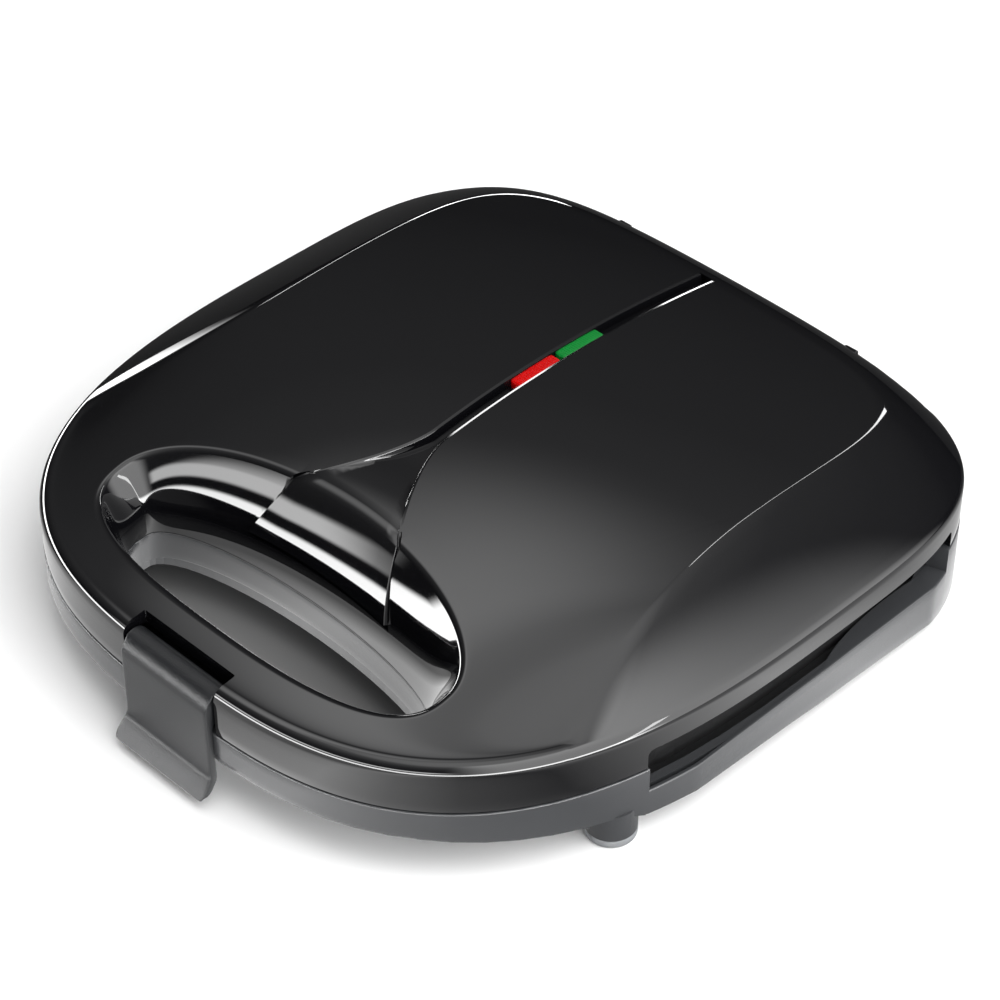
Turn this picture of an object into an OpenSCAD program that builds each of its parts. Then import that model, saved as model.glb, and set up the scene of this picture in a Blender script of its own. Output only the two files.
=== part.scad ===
// Slim two-slice sandwich toaster: hinged lid and base with ribbed cooking plates,
// a finger opening behind the front edge and a clip that holds the lid shut.
// Origin on the table under the middle of the body, +Z up, the clip at -Y, the hinge at +Y.

/* [Body plan] */
// Width of the body beyond the plates on each side
side_margin = 15; // [14.5:0.1:17]
// Depth of the body behind the plates
rear_margin = 36.5; // [36:0.5:40]
// Web between the finger opening and the plates
web_d = 14; // [13:0.5:16]
// Distance from the widest line back to the rear edge
rear_len = 95; // [91:1:100]
// Squareness of the front corners
front_n = 2.85; // [2.7:0.05:3]
// Squareness of the rear corners
rear_n = 3.2; // [3:0.1:3.6]

/* [Body heights] */
// Height of the joint line between lid and base
part_z = 25.5; // [25:0.1:27]
// Gap between the lid and the base at the joint line
part_gap = 0.3; // [0.2:0.05:0.5]
// Wall thickness of both housings
wall = 2.5; // [2:0.1:2.8]
// Height of the lid's rim over the joint line
rim_h = 16.5; // [15.5:0.1:17.5]
// Radius that rounds the lid's rim
rim_r = 4; // [3:0.1:5]
// Rise of the top panel over the rim
panel_h = 22.3; // [20:0.1:24]
// Distance of the panel's highest line behind the widest line
peak_back = 5; // [1:1:9]
// Fall of the panel from its highest line to its rear edge
rear_fall = 4.6; // [3:0.1:6]
// Width of the sloping shoulder at the widest line
shoulder_w = 27; // [24:1:30]
// Distance of the panel's rear edge from the rear of the lid
panel_back = 19; // [17:0.5:21]
// Squareness of the panel's rear corners
panel_n = 5; // [4:0.5:6]
// Angle, forward of the widest line, at which the panel's side edge runs into the rim
panel_end_a = 33; // [30:1:36]

/* [Base underside] */
// Thickness of the base under the handle
ring_h = 10; // [9.5:0.1:11]
// Height of the base wall's lower edge where the side recess begins
skirt_front_z = 8; // [7.4:0.1:8.4]
// Height of the base wall's lower edge at the rear
skirt_rear_z = 2; // [1.8:0.1:2.2]
// Drop of the base's underside from the handle to the front corners
corner_drop = 4.3; // [3.5:0.1:4.6]
// Thickness of the base floor
floor_t = 2.5; // [2:0.1:3]

/* [Side recess] */
// Distance of the recess's front end ahead of the plates
recess_ahead = 8; // [7:0.5:10]
// Distance of the recess's rear end ahead of the plates' rear edge
recess_short = 1; // [0.5:0.5:3]
// Height of the lid's edge over the joint line along the recess
lid_lift = 7; // [6:0.1:8]
// Depth of the base wall's edge below the joint line along the recess
base_drop = 8.5; // [7:0.1:9]
// Step of the base wall inward along the recess
side_step = 2.5; // [2:0.1:3]
// Inset of the lining's skirt along the recess
skirt_inset = 6.5; // [6:0.1:7.5]

/* [Finger opening] */
// Width of the opening at the top
open_w = 132; // [128:1:136]
// Width of the opening at the joint line
open_low_w = 117; // [112:1:122]
// Width of the handle bar in front of the opening
bar_d = 18; // [17:0.5:20]
// Depth of the opening's front half
open_front_d = 23; // [22:0.5:24]
// Depth of the opening's rear half at the top
open_rear_d = 26.5; // [25:0.5:28]
// Depth of the opening's rear half at the joint line
open_low_d = 14.5; // [13:0.5:16]

/* [Centre strip] */
// Width of the groove in the panel
strip_w = 6; // [5:0.1:7]
// Half width of the flare where the groove meets the opening
flare_half_w = 21.2; // [20:0.1:23]
// Length of the flare
flare_len = 36; // [32:1:40]
// Depth of the groove below the panel
groove_d = 1.5; // [1.2:0.1:1.8]
// Thickness of the strip
strip_t = 2.2; // [1.8:0.1:2.4]
// Clearance round the strip, and round each lens
trim_gap = 0.15; // [0.1:0.05:0.2]
// Length of each lens
lens_l = 17.5; // [16:0.1:18.5]
// Width of each lens
lens_w = 4.4; // [4:0.1:4.6]
// Thickness of each lens
lens_t = 2.4; // [2:0.1:3]
// Distance of the red lens's front end ahead of the widest line
lens_ahead = 7; // [5:1:9]

/* [Clip] */
// Width of the clip
clip_w = 37; // [35:0.5:39]
// Clearance round the clip in its notch
clip_gap = 0.4; // [0.3:0.05:0.5]
// Thickness of the clip
clip_t = 2.8; // [2.5:0.1:3]
// Outer radius of the clip's rounded top
clip_r = 7; // [6.5:0.1:7.5]
// Height of the clip's pivot over the joint line
clip_pivot_h = 9.5; // [9:0.1:10]
// Depth of the clip's plate below the joint line
clip_drop = 14; // [13.5:0.1:15]
// Reach of the lip that the finger pulls
lip_reach = 7.5; // [6.5:0.1:8.5]
// Fall of the pull lip below the plate
lip_fall = 5; // [4:0.1:5.5]
// Overhang of the pull lip on each side of the clip
lip_flare = 2; // [1:0.1:2.5]
// Radius of the clip's pin
clip_pin_r = 1.5; // [1.3:0.1:1.8]
// Largest swing of the clip
clip_open_a = 38; // [30:1:38]

/* [Hinge] */
// Distance of the hinge line from the rear of the lid
hinge_in = 11; // [10.5:0.1:11.5]
// Height of the hinge line over the joint line
hinge_up = 7; // [6.5:0.1:7.5]
// Place of each hinge arm from the middle
arm_x = 38; // [34:1:42]
// Width of each hinge arm
arm_w = 12; // [11:0.5:13]
// Radius of the hinge arm's eye, and of the lid's lugs
eye_r = 5.5; // [5.3:0.1:5.8]
// Radius of the hinge pins
pin_r = 2; // [1.8:0.1:2.2]
// Radial running clearance of the pins
pin_fit = 0.05; // [0.02:0.01:0.08]
// Side clearance of the hinge arm in the lid's slot
arm_gap = 0.5; // [0.4:0.1:0.7]
// Width of each lug beside the slot
lug_w = 5; // [4:0.5:6]

/* [Cooking plates] */
// Width of each plate
plate_w = 204; // [200:1:206]
// Depth of each plate
plate_d = 122; // [120:1:124]
// Thickness of the plate's flange
plate_t = 3; // [2.5:0.1:3.5]
// Distance from each plate's face to the joint line
plate_gap = 0.3; // [0.25:0.05:0.5]
// Depth of the triangular pockets
pocket_d = 9.5; // [8:0.5:10]
// Thickness of the pocket walls
pocket_t = 2; // [1.5:0.1:2.2]
// Width of the rib between the two slices
centre_rib = 18; // [17:1:20]
// Width of the diagonal rib
diagonal_rib = 8; // [7:0.5:10]
// Margin from the plate's edge to the pockets
pocket_margin = 12; // [11.5:0.5:13]
// Slope allowance of the pocket walls from top to bottom
pocket_draft = 3; // [2:0.5:4]

/* [Heating] */
// Diameter of the tubular elements
element_d = 6.4; // [6:0.1:6.6]
// Corner radius of the element's bends
element_bend = 5; // [4.8:0.1:5.2]
// Gap between the element and its plate
element_gap = 0.1; // [0.05:0.05:0.2]
// Sheet thickness of the reflector pans
pan_t = 0.8; // [0.6:0.1:1]
// Diameter of the thermostat
thermostat_d = 12; // [11:0.5:12.5]

/* [Feet] */
// Diameter of the feet
foot_d = 15; // [14:0.5:16]
// Thickness of the rubber foot pads
foot_t = 3; // [2.5:0.1:4]
// Distance of the front feet from the body's sides
foot_front_in = 14; // [13:0.5:16]
// Distance of the rear feet from the body's sides
foot_rear_in = 24; // [22:0.5:27]
// Distance of the front feet ahead of the recess
foot_ahead = 5; // [4:0.5:6]
// Distance of the rear feet ahead of the recess's rear end
foot_behind = 3; // [2:0.5:6]

/* [Cord inlet] */
// Radius of the cord bush's bore
bush_bore_r = 3.3; // [3:0.1:3.6]
// Wall of the cord bush
bush_wall = 1.6; // [1.4:0.1:2]
// Height of the bush over the table
bush_z = 11.3; // [11.2:0.1:11.8]

/* [Hidden] */

$fn = 48;
eps = 0.01;
far = 60;
sides = 72;
half_w = plate_w/2 + side_margin;
front_len = bar_d + open_front_d + open_rear_d + web_d + plate_d + rear_margin - rear_len;

// The middle of the whole depth, clip and cord bush included, lies at Y = 0
face_gap = 0.5;
clip_reach = face_gap + clip_t + lip_reach;
bush_flange = 2.5;
fit_gap = 0.1;
front_y = (clip_reach - front_len - rear_len - bush_flange - fit_gap)/2;
rear_y = front_y + front_len + rear_len;
widest_y = front_y + front_len;
peak_y = widest_y + peak_back;
hinge_y = rear_y - hinge_in;
hinge_z = part_z + hinge_up;
rim_z = part_z + rim_h;
lip_z = part_z - base_drop;
lid_edge_z = part_z + lid_lift;
ring_z = part_z - ring_h;
open_y = front_y + bar_d + open_front_d;
open_back_y = open_y + open_rear_d;
open_top_z = rim_z + panel_h/2;

// Powers of the finger opening's outline in front of and behind its widest line
open_front_n = 2.6;
open_rear_n = 2;
// Side crown of the panel at its side edges
panel_crown = 1.5;
// Bulge of the shoulders over a straight slope
shoulder_bulge = 0.35;
// Power of the curve that carries the panel's side edge into the rim, and of the strip's flare
edge_sweep = 1.6;
// Power of the curve along which the panel falls to the front
fall_power = 1.5;
panel_half_w = half_w - rim_r - shoulder_w;
panel_rear_y = rear_y - panel_back;
// Factors by which the panel's rings are drawn in towards its middle
panel_steps = [0.93, 0.84, 0.72, 0.58, 0.44, 0.3, 0.16, 0.03];

// Plate and its seat in the linings
plate_front_y = open_back_y + web_d;
plate_mid_y = plate_front_y + plate_d/2;
plate_corner = 8;
plate_rear_y = plate_front_y + plate_d;
recess_front_y = plate_front_y - recess_ahead;
recess_rear_y = plate_rear_y - recess_short;
plate_top = part_z - plate_gap;
plate_low = plate_top - plate_t;
seat_gap = 0.3;
liner_t = 2;
ledge_w = 1.5;
ledge_t = 2.4;
ring_t = 3.2;
liner_top = part_z - part_gap - 0.5;
liner_low = liner_top - liner_t;
channel_inset = skirt_inset + wall;
channel_z = lip_z - wall;
pan_inset = ledge_w + seat_gap;
pan_floor_z = 11;
pan_brim = 0.5;
pan_top = plate_low - ledge_t - trim_gap;

// Widening of a pocket's outline at its two sharp corners for each millimetre of growth
sharp_grow = 2.4;
pocket_w = plate_w/2 - centre_rib/2 - pocket_margin - diagonal_rib;
pocket_l = plate_d - 2*pocket_margin - diagonal_rib;
pocket_z = plate_top - pocket_d;

// Fasteners
screw_r = 1.5;
screw_fit = 0.02;
screw_clear = 0.25;
tip_gap = 0.5;
head_r = 2.8;
head_h = 2;
head_gap = 0.05;
recess_l = 3.2;
recess_w = 0.7;
recess_d = 1;
boss_r = 4;
screw_in = 33;
screw_x = half_w - screw_in;
screw_behind = 9;
screw_ahead = 31;
screw_front_y = plate_front_y - screw_ahead;
screw_rear_y = plate_rear_y + screw_behind;
screw_seat_z = 14;
screw_len = 9.5;
boss_split_z = 17;
lid_seat_z = 2*part_z - liner_top + head_h + seat_gap;

// Plate bosses on the middle rib
plate_boss_r = 3.6;
plate_boss_y = [plate_mid_y - plate_d/4, plate_mid_y + plate_d*0.31];
plate_screw_len = 9;

// Element loop, its ends and its clips
loop_inset = pocket_margin/2 + 1;
loop_x = plate_w/2 - loop_inset;
loop_front_y = plate_front_y + loop_inset;
loop_rear_y = plate_rear_y - loop_inset;
loop_r = element_d/2;
loop_z = plate_low - loop_r - element_gap;
loop_end_x = 14;
blade = [9, 4, pan_t];
clip_strap_t = 0.6;
clip_strap_w = 8;

// Thermostat, fuse and terminals
thermostat_cup = 4;
thermostat_base = 3;
tab_size = [3, 0.8, 3];
tab_pitch = 6;
fuse_r = 2;
fuse_len = 10;
fuse_lead = 16;
lead_r = 0.5;
fuse_y = plate_mid_y - (thermostat_d + fuse_lead)/2 - wall;
terminal_size = [30, 9, 7.9];
terminal_hole_r = 1.5;
terminal_y = plate_rear_y + ring_t + 1.5;

// Swept clearance of the lid's rear edge about the hinge line
sweep_gap = 0.5;
sweep_r = norm([hinge_in, hinge_up - part_gap]) + sweep_gap;
sweep_half_l = 72;
corner_sweep_r = 9;
trough_t = 1.5;
slot_w = arm_w + 2*arm_gap;
slot_rise = 8.4;
stem_front = eye_r + sweep_gap;
pin_short = 0.5;

// Feet
foot_front_x = half_w - foot_front_in;
foot_rear_x = half_w - foot_rear_in;
foot_front_y = recess_front_y - foot_ahead;
foot_rear_y = recess_rear_y - foot_behind;
stem_h = 5;
foot_bevel = 0.8;
leg_top_z = channel_z - liner_t - 2*fit_gap;
foot_boss_z = foot_t + stem_h + tip_gap;

// Clip
clip_half_w = clip_w/2;
notch_half_w = clip_half_w + clip_gap;
notch_wall = 2.5;
clip_face_y = front_y - face_gap;
clip_pivot_y = clip_face_y - clip_t + clip_r;
clip_pivot_z = part_z + clip_pivot_h;
clip_low_z = part_z - clip_drop;
barrel_r = 4.4;
notch_back_y = clip_pivot_y + max(barrel_r, clip_r*sin(clip_open_a)) + clip_gap;
catch_rise = 0.2;
catch_gap = 0.3;
catch_d = 2;

// Indicator lamps
lens_gap = 1.2;
red_y = widest_y - lens_ahead + lens_l/2;
green_y = red_y + lens_l + lens_gap;
lamps_y = (red_y + green_y)/2;
lens_sink = 0.2;
lamp_r = 2;
lamp_len = 11;
lamp_lead_r = 0.3;
lamp_lead_x = 0.8;
lamp_lead = 2;
holder_w = 10;
holder_t = 1.2;
holder_drop = 10.6;
holder_z = rim_z + panel_h - groove_d - strip_t - holder_drop;
holder_h = 7;
holder_half_l = lens_l + 3;
ear_x = 11;
ear_half = 4;
ear_t = 1.6;
ear_boss_r = 3;
lamp_screw_r = 1.2;
lamp_screw_len = 5;

// Strip in the panel's groove
strip_sink = 0.2;
strip_steps = 16;
strip_front_y = open_back_y - 0.4;
strip_rear_y = panel_rear_y - 0.3;
flare_y = open_back_y + flare_len;
edge_bevel = 0.6;
dish_slope = 0.12;
tab_half_l = 3;
tab_pitch_l = (lens_l + lens_gap)/2;
tab_overhang = 4;
tab_t = 2;
tab_gap = 0.9;
tab_y = [red_y - 2.5*tab_pitch_l, green_y + 2.5*tab_pitch_l];

gloss_black = "#17181a";
dark_plastic = "#2b2c2e";
satin_grey = "#46474a";
steel = "#b8babd";
coated = "#2a2a2c";
ceramic_white = "#e6e2d6";
rubber_black = "#101010";
red_glow = "#d01210";
green_glow = "#0a8a3c";
lamp_glass = "#e8d8b8";

// ---- Outlines and surfaces ----

function sgn_pow(v, e) = sign(v)*pow(abs(v), e);

// Point of a rounded outline: a front and a rear half with their own depth and squareness
function round_pt(a, half, mid_y, front_d, rear_d, n_front, n_rear) =
    let (n = sin(a) < 0 ? n_front : n_rear, d = sin(a) < 0 ? front_d : rear_d)
    [half*sgn_pow(cos(a), 2/n), mid_y + d*sgn_pow(sin(a), 2/n)];

function angles(count) = [for (i = [0:count - 1]) 360*i/count];

function outline_pt(a, inset) =
    round_pt(a, half_w - inset, widest_y, front_len - inset, rear_len - inset, front_n, rear_n);

function outline(inset) = [for (a = angles(sides)) outline_pt(a, inset)];

function at_z(points, z) = [for (p = points) [p[0], p[1], z]];

// Front edge of the panel at a given x, on the inside of the rounded rim
function front_edge_y(x) =
    let (u = min(1, abs(x)/(half_w - rim_r)))
    widest_y - (front_len - rim_r)*pow(1 - pow(u, front_n), 1/front_n);

// Height of the panel over the joint line
function panel_z(x, y) =
    let (rise = panel_h - panel_crown*pow(x/panel_half_w, 2))
    y < peak_y
        ? let (t = min(1, (peak_y - y)/(peak_y - front_edge_y(x)))) rim_h + rise*pow(1 - t*t, fall_power)
        : rim_h + rise - rear_fall*pow((y - peak_y)/(panel_rear_y - peak_y), 2);

// Edge of the panel: rounded at the rear, swept out into the rim at the front
function panel_edge_pt(a) =
    let (b = a > 180 ? min(a - 180, 360 - a) : 0, rim = outline_pt(a, rim_r))
    a <= 180
        ? round_pt(a, panel_half_w, widest_y, 0, rear_len - panel_back, panel_n, panel_n)
        : b < panel_end_a
            ? [rim[0] - sign(rim[0])*shoulder_w*(1 - pow(b/panel_end_a, edge_sweep)), rim[1]]
            : rim;

// Ring on the shoulder between the rim (f = 0) and the panel's edge (f = 1)
function shoulder_ring(f) = [for (a = angles(sides))
    let (r = outline_pt(a, rim_r), e = panel_edge_pt(a), rise = panel_z(e[0], e[1]) - rim_h,
        p = r + (e - r)*f)
    [p[0], p[1], rim_h + rise*f*(1 + shoulder_bulge*(1 - f))]];

// Ring on the panel, drawn in towards its middle by a factor
function panel_ring(k) = [for (a = angles(sides))
    let (e = panel_edge_pt(a), x = e[0]*k, y = widest_y + (e[1] - widest_y)*k)
    [x, y, panel_z(x, y)]];

function raise(ring, dz) = [for (p = ring) [p[0], p[1], p[2] + dz]];

// Solid through a stack of rings with the same number of points, first ring to last
module loft(rings) {
    n = len(rings[0]);
    last = len(rings) - 1;
    points = [for (r = rings) each r];
    first_cap = [for (i = [0:n - 1]) i];
    last_cap = [for (i = [n - 1:-1:0]) last*n + i];
    walls = [for (j = [0:last - 1], i = [0:n - 1])
        let (a = j*n + i, b = a + n, c = j*n + (i + 1) % n, d = c + n) each [[a, b, d], [a, d, c]]];
    polyhedron(points, concat([first_cap, last_cap], walls), convexity = 6);
}

// Box from two corners
module block(low, high) translate(low) cube(high - low);

// Round bar along X
module bar(r, x0, x1, y, z) translate([x0, y, z]) rotate([0, 90, 0]) cylinder(r = r, h = x1 - x0);

module prism(inset, z0, z1) translate([0, 0, z0]) linear_extrude(z1 - z0) polygon(outline(inset));

// Outside of the lid above the joint line
module lid_outside() {
    fillet = [for (a = [0, 30, 60, 90]) at_z(outline(rim_r*(1 - cos(a))), rim_z - rim_r*(1 - sin(a)))];
    shoulder = [for (f = [0.25, 0.5, 0.75, 0.97]) raise(shoulder_ring(f), part_z)];
    panel = [for (k = concat([0.985], panel_steps)) raise(panel_ring(k), part_z)];
    loft(concat([at_z(outline(0), part_z + part_gap)], fillet, shoulder, panel));
}

// Hollow of the lid, one wall inside its outside
module lid_inside() {
    low = [at_z(outline(wall), part_z - wall), at_z(outline(wall), rim_z - rim_r)];
    rise = [for (f = [0.2, 0.6]) raise(shoulder_ring(f), part_z - wall*(1 + shoulder_bulge))];
    panel = [for (k = panel_steps) raise(panel_ring(k), part_z - wall)];
    loft(concat(low, rise, panel));
}

// Finger opening, narrower at the joint line than at the top, grown by an amount
module opening(grow = 0) {
    function ring(half, rear_d, z) = at_z([for (a = angles($fn))
        round_pt(a, half + grow, open_y, open_front_d + grow, rear_d + grow, open_front_n, open_rear_n)], z);
    low = [open_low_w/2, open_low_d];
    high = [open_w/2, open_rear_d];
    loft([ring(low[0], low[1], 0), ring(low[0], low[1], part_z),
        ring(high[0], high[1], open_top_z), ring(high[0], high[1], part_z + far)]);
}

// Everything at the sides between the ends of the recess
module side_bands(grow, z0, z1) {
    for (s = [-1, 1])
        translate([s*half_w, (recess_front_y + recess_rear_y)/2, (z0 + z1)/2])
            cube([half_w, recess_rear_y - recess_front_y + 2*grow, z1 - z0], center = true);
}

// The body's outline, stepped inward by an amount along the recess
module stepped_prism(inset, step, z0, z1) {
    difference() {
        prism(inset, z0, z1);
        difference() {
            side_bands(inset, z0 - 1, z1 + 1);
            prism(step, z0 - 2, z1 + 2);
        }
    }
}

// Half space above the base's underside, moved up by an amount
module above_underside(up) {
    profile = [[front_y - far, ring_z], [front_y + bar_d, ring_z],
        [recess_front_y - foot_d/2, ring_z - corner_drop],
        [recess_front_y, skirt_front_z], [recess_rear_y, skirt_rear_z], [rear_y + far, skirt_rear_z]];
    upper_edge = [[rear_y + far, part_z + far], [front_y - far, part_z + far]];
    rotate([90, 0, 90]) translate([0, 0, -2*half_w]) linear_extrude(4*half_w)
        polygon(concat([for (p = profile) p + [0, up]], upper_edge));
}

module at_screws() {
    for (x = [-screw_x, screw_x], y = [screw_front_y, screw_rear_y]) translate([x, y, 0]) children();
}

module at_arms() for (s = [-1, 1]) translate([s*arm_x, 0, 0]) children();

module at_front_feet() for (s = [-1, 1]) translate([s*foot_front_x, foot_front_y, 0]) children();

module at_rear_feet() for (s = [-1, 1]) translate([s*foot_rear_x, foot_rear_y, 0]) children();

// Turns the lower half of the works upside down into the lid
module upper() translate([0, 0, 2*part_z]) mirror([0, 0, 1]) children();

// Screw with its head under the origin and its shank up, cross recess included
module screw(len, r) {
    cylinder(r = r, h = len);
    difference() {
        translate([0, 0, -head_h]) cylinder(r = head_r, h = head_h);
        for (a = [0, 90]) rotate([0, 0, a]) translate([0, 0, recess_d/2 - head_h])
            cube([recess_l, recess_w, recess_d + eps], center = true);
    }
}

// ---- Base ----

module hinge_arm() {
    bar(eye_r, -arm_w/2, arm_w/2, hinge_y, hinge_z);
    block([-arm_w/2, hinge_y - eye_r, skirt_rear_z + floor_t/2], [arm_w/2, hinge_y + eye_r, hinge_z]);
}

module base_posts() {
    at_screws() cylinder(r = boss_r, h = boss_split_z);
    at_front_feet() cylinder(d = foot_d, h = leg_top_z);
    at_rear_feet() cylinder(r = boss_r, h = foot_boss_z);
    opening(wall);
    end_walls(channel_inset, 0, liner_low - seat_gap);
}

module base_walls() {
    intersection() {
        stepped_prism(0, side_step, 0, part_z);
        above_underside(0);
    }
}

module base_hollow() {
    intersection() {
        stepped_prism(wall, side_step + wall, 0, part_z + 1);
        above_underside(floor_t);
    }
}

module lid_sweep() {
    bar(sweep_r, -sweep_half_l, sweep_half_l, hinge_y, hinge_z);
    bar(corner_sweep_r, -half_w, half_w, hinge_y, hinge_z);
}

module base_shell() {
    difference() {
        union() {
            difference() {
                base_walls();
                difference() {
                    base_hollow();
                    base_posts();
                }
                side_bands(0, lip_z, part_z + 1);
                lid_sweep();
            }
            at_arms() hinge_arm();
            at_front_feet() translate([0, 0, foot_t]) cylinder(d = foot_d, h = leg_top_z - foot_t);
        }
        opening();
        at_screws() {
            cylinder(r = head_r + screw_clear, h = screw_seat_z);
            cylinder(r = screw_r + screw_clear, h = part_z);
        }
        at_front_feet() foot_stem(screw_fit);
        at_rear_feet() {
            foot_stem(screw_fit);
            cylinder(d = foot_d + 2*trim_gap, h = foot_t);
        }
        bar(pin_r + pin_fit, -half_w, half_w, hinge_y, hinge_z);
        translate([0, rear_y, bush_z]) rotate([90, 0, 0])
            cylinder(r = bush_bore_r + bush_wall + screw_fit, h = 3*wall, center = true);
        block([-clip_half_w, front_y - wall, ring_z - wall],
            [clip_half_w, front_y + catch_d, ring_z + catch_d]);
    }
}

module foot_stem(grow) translate([0, 0, foot_t - eps]) cylinder(r = screw_r + grow, h = stem_h);

module foot(x, y) {
    translate([x, y, 0]) {
        rotate_extrude()
            polygon([[0, 0], [foot_d/2 - foot_bevel, 0], [foot_d/2, foot_bevel], [foot_d/2, foot_t],
                [0, foot_t]]);
        foot_stem(0);
    }
}

// The plate's area, its corners rounded, grown by an amount
module plate_area(grow, z0, z1) {
    r = plate_corner + grow;
    reach = plate_w/2 + grow;
    y0 = plate_front_y - grow;
    y1 = plate_rear_y + grow;
    block([r - reach, y0, z0], [reach - r, y1, z1]);
    block([-reach, y0 + r, z0], [reach, y1 - r, z1]);
    for (x = [r - reach, reach - r], y = [y0 + r, y1 - r]) translate([x, y, z0]) cylinder(r = r, h = z1 - z0);
}

// The works inside the side recesses: the outline at an inset, and the plate's area where it reaches further
module core(inset, grow, z0, z1) {
    prism(inset, z0, z1);
    plate_area(grow, z0, z1);
}

// Walls that close a housing at the ends of the side recesses, clear of the lining
module end_walls(inset, z0, z1) {
    difference() {
        side_bands(wall, z0, z1);
        side_bands(0, z0 - 1, z1 + 1);
        core(inset - seat_gap, ring_t + seat_gap, z0 - 1, z1 + 1);
    }
}

// Lining flange round the plate and the frame that carries the plate, in the base's orientation
module liner_flange(step) {
    stepped_prism(wall + seat_gap, step, liner_low, liner_top);
    intersection() {
        plate_area(ring_t, plate_low - ledge_t, liner_top);
        prism(wall + seat_gap, 0, part_z);
    }
}

module liner_windows() {
    plate_area(seat_gap, plate_low, part_z + 1);
    plate_area(-ledge_w, 0, part_z);
}

// Upright wall of the lining along the side recess
module side_wall(inset, z0, z1) {
    intersection() {
        difference() {
            core(inset, ring_t, z0, z1);
            core(inset + liner_t, ring_t - liner_t, z0 - 1, z1 + 1);
        }
        side_bands(wall, z0 - 1, z1 + 1);
    }
}

// Level shelf of the lining from its upright wall out to the housing
module side_shelf(outer, inset, z0) {
    intersection() {
        difference() {
            prism(outer, z0, z0 + liner_t);
            core(inset + liner_t, ring_t - liner_t, z0 - 1, z0 + liner_t + 1);
        }
        side_bands(-seat_gap, z0 - 1, z0 + liner_t + 1);
    }
}

// Curved wall under the hinge that closes the works off when the lid is up
module hinge_trough() {
    intersection() {
        bar(sweep_r + trough_t, -sweep_half_l, sweep_half_l, hinge_y, hinge_z);
        prism(wall + seat_gap, 0, liner_top);
    }
}

module base_liner() {
    difference() {
        union() {
            liner_flange(channel_inset);
            side_wall(channel_inset, channel_z - liner_t, liner_top);
            side_shelf(side_step + wall + seat_gap, channel_inset, channel_z - liner_t);
            at_screws() translate([0, 0, boss_split_z + fit_gap])
                cylinder(r = boss_r, h = liner_low - boss_split_z);
            hinge_trough();
        }
        liner_windows();
        opening(wall + seat_gap);
        lid_sweep();
        at_arms() block([-slot_w/2, hinge_y - stem_front, 0], [slot_w/2, rear_y, part_z + 1]);
        at_screws() cylinder(r = screw_r + screw_fit, h = screw_seat_z + screw_len + tip_gap);
    }
}

// Triangular pocket with sloping walls, its square corner at the origin
module pocket(grow, z_top, z_low) {
    function corner(g) = [[-g, -g], [pocket_w + g*sharp_grow, -g], [-g, pocket_l + g*sharp_grow]];
    loft([at_z(corner(grow - pocket_draft), z_low), at_z(corner(grow), z_top)]);
}

// The four pockets of a plate, two for each slice
module pockets(grow, z_top, z_low) {
    for (s = [0, 1]) mirror([s, 0, 0]) {
        translate([centre_rib/2, plate_front_y + pocket_margin, 0]) pocket(grow, z_top, z_low);
        translate([plate_w/2 - pocket_margin, plate_rear_y - pocket_margin, 0])
            rotate([0, 0, 180]) pocket(grow, z_top, z_low);
    }
}

module plate() {
    difference() {
        union() {
            plate_area(0, plate_low, plate_top);
            pockets(pocket_t, plate_low + eps, pocket_z - pocket_t);
            for (y = plate_boss_y) translate([0, y, pan_floor_z + pan_t + fit_gap])
                cylinder(r = plate_boss_r, h = plate_low - pan_floor_z - pan_t);
        }
        pockets(0, plate_top + eps, pocket_z);
        for (y = plate_boss_y) translate([0, y, pan_floor_z])
            cylinder(r = screw_r + screw_fit, h = plate_screw_len + tip_gap);
    }
}

// Tube from one point to another
module tube_run(from, to) {
    v = to - from;
    translate(from) rotate([0, 0, atan2(v[1], v[0])]) rotate([0, 90, 0]) cylinder(r = loop_r, h = norm(v));
}

module tube_bend(x, y, start) {
    translate([x, y, loop_z]) rotate([0, 0, start]) rotate_extrude(angle = 90)
        translate([element_bend, 0]) circle(r = loop_r);
}

module element() {
    bend_x = loop_x - element_bend;
    tube_run([-bend_x, loop_front_y, loop_z], [bend_x, loop_front_y, loop_z]);
    for (s = [0, 1]) mirror([s, 0, 0]) {
        tube_bend(bend_x, loop_front_y + element_bend, -90);
        tube_run([loop_x, loop_front_y + element_bend, loop_z], [loop_x, loop_rear_y - element_bend, loop_z]);
        tube_bend(bend_x, loop_rear_y - element_bend, 0);
        tube_run([loop_end_x, loop_rear_y, loop_z], [bend_x, loop_rear_y, loop_z]);
        translate([loop_end_x - blade[0]/3, loop_rear_y, loop_z]) cube(blade, center = true);
    }
}

module reflector() {
    rim = -pan_inset - pan_t;
    difference() {
        union() {
            plate_area(-pan_inset, pan_floor_z, pan_top);
            plate_area(pan_brim, pan_top - pan_t, pan_top);
        }
        plate_area(rim, pan_floor_z + pan_t, part_z);
        for (y = plate_boss_y) translate([0, y, 0]) cylinder(r = screw_r + screw_clear, h = part_z);
        block([-loop_end_x, plate_rear_y + rim - pan_t, pan_floor_z + pan_t],
            [loop_end_x, plate_rear_y + wall, part_z]);
    }
}

// Strap under the tube with one leg up to the plate on its outer side, the tube along Y
module element_clip() {
    r = loop_r + element_gap;
    difference() {
        rotate([90, 0, 0]) cylinder(r = r + clip_strap_t, h = clip_strap_w, center = true);
        rotate([90, 0, 0]) cylinder(r = r, h = 2*clip_strap_w, center = true);
        block([-2*r, -clip_strap_w, 0], [2*r, clip_strap_w, 2*r]);
    }
    block([r, -clip_strap_w/2, 0], [r + clip_strap_t, clip_strap_w/2, plate_low - loop_z]);
}

module element_clips() {
    for (s = [0, 1]) mirror([s, 0, 0]) {
        translate([loop_x, plate_mid_y, loop_z]) element_clip();
        translate([plate_w/4, loop_front_y, loop_z]) rotate([0, 0, -90]) element_clip();
    }
}

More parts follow.
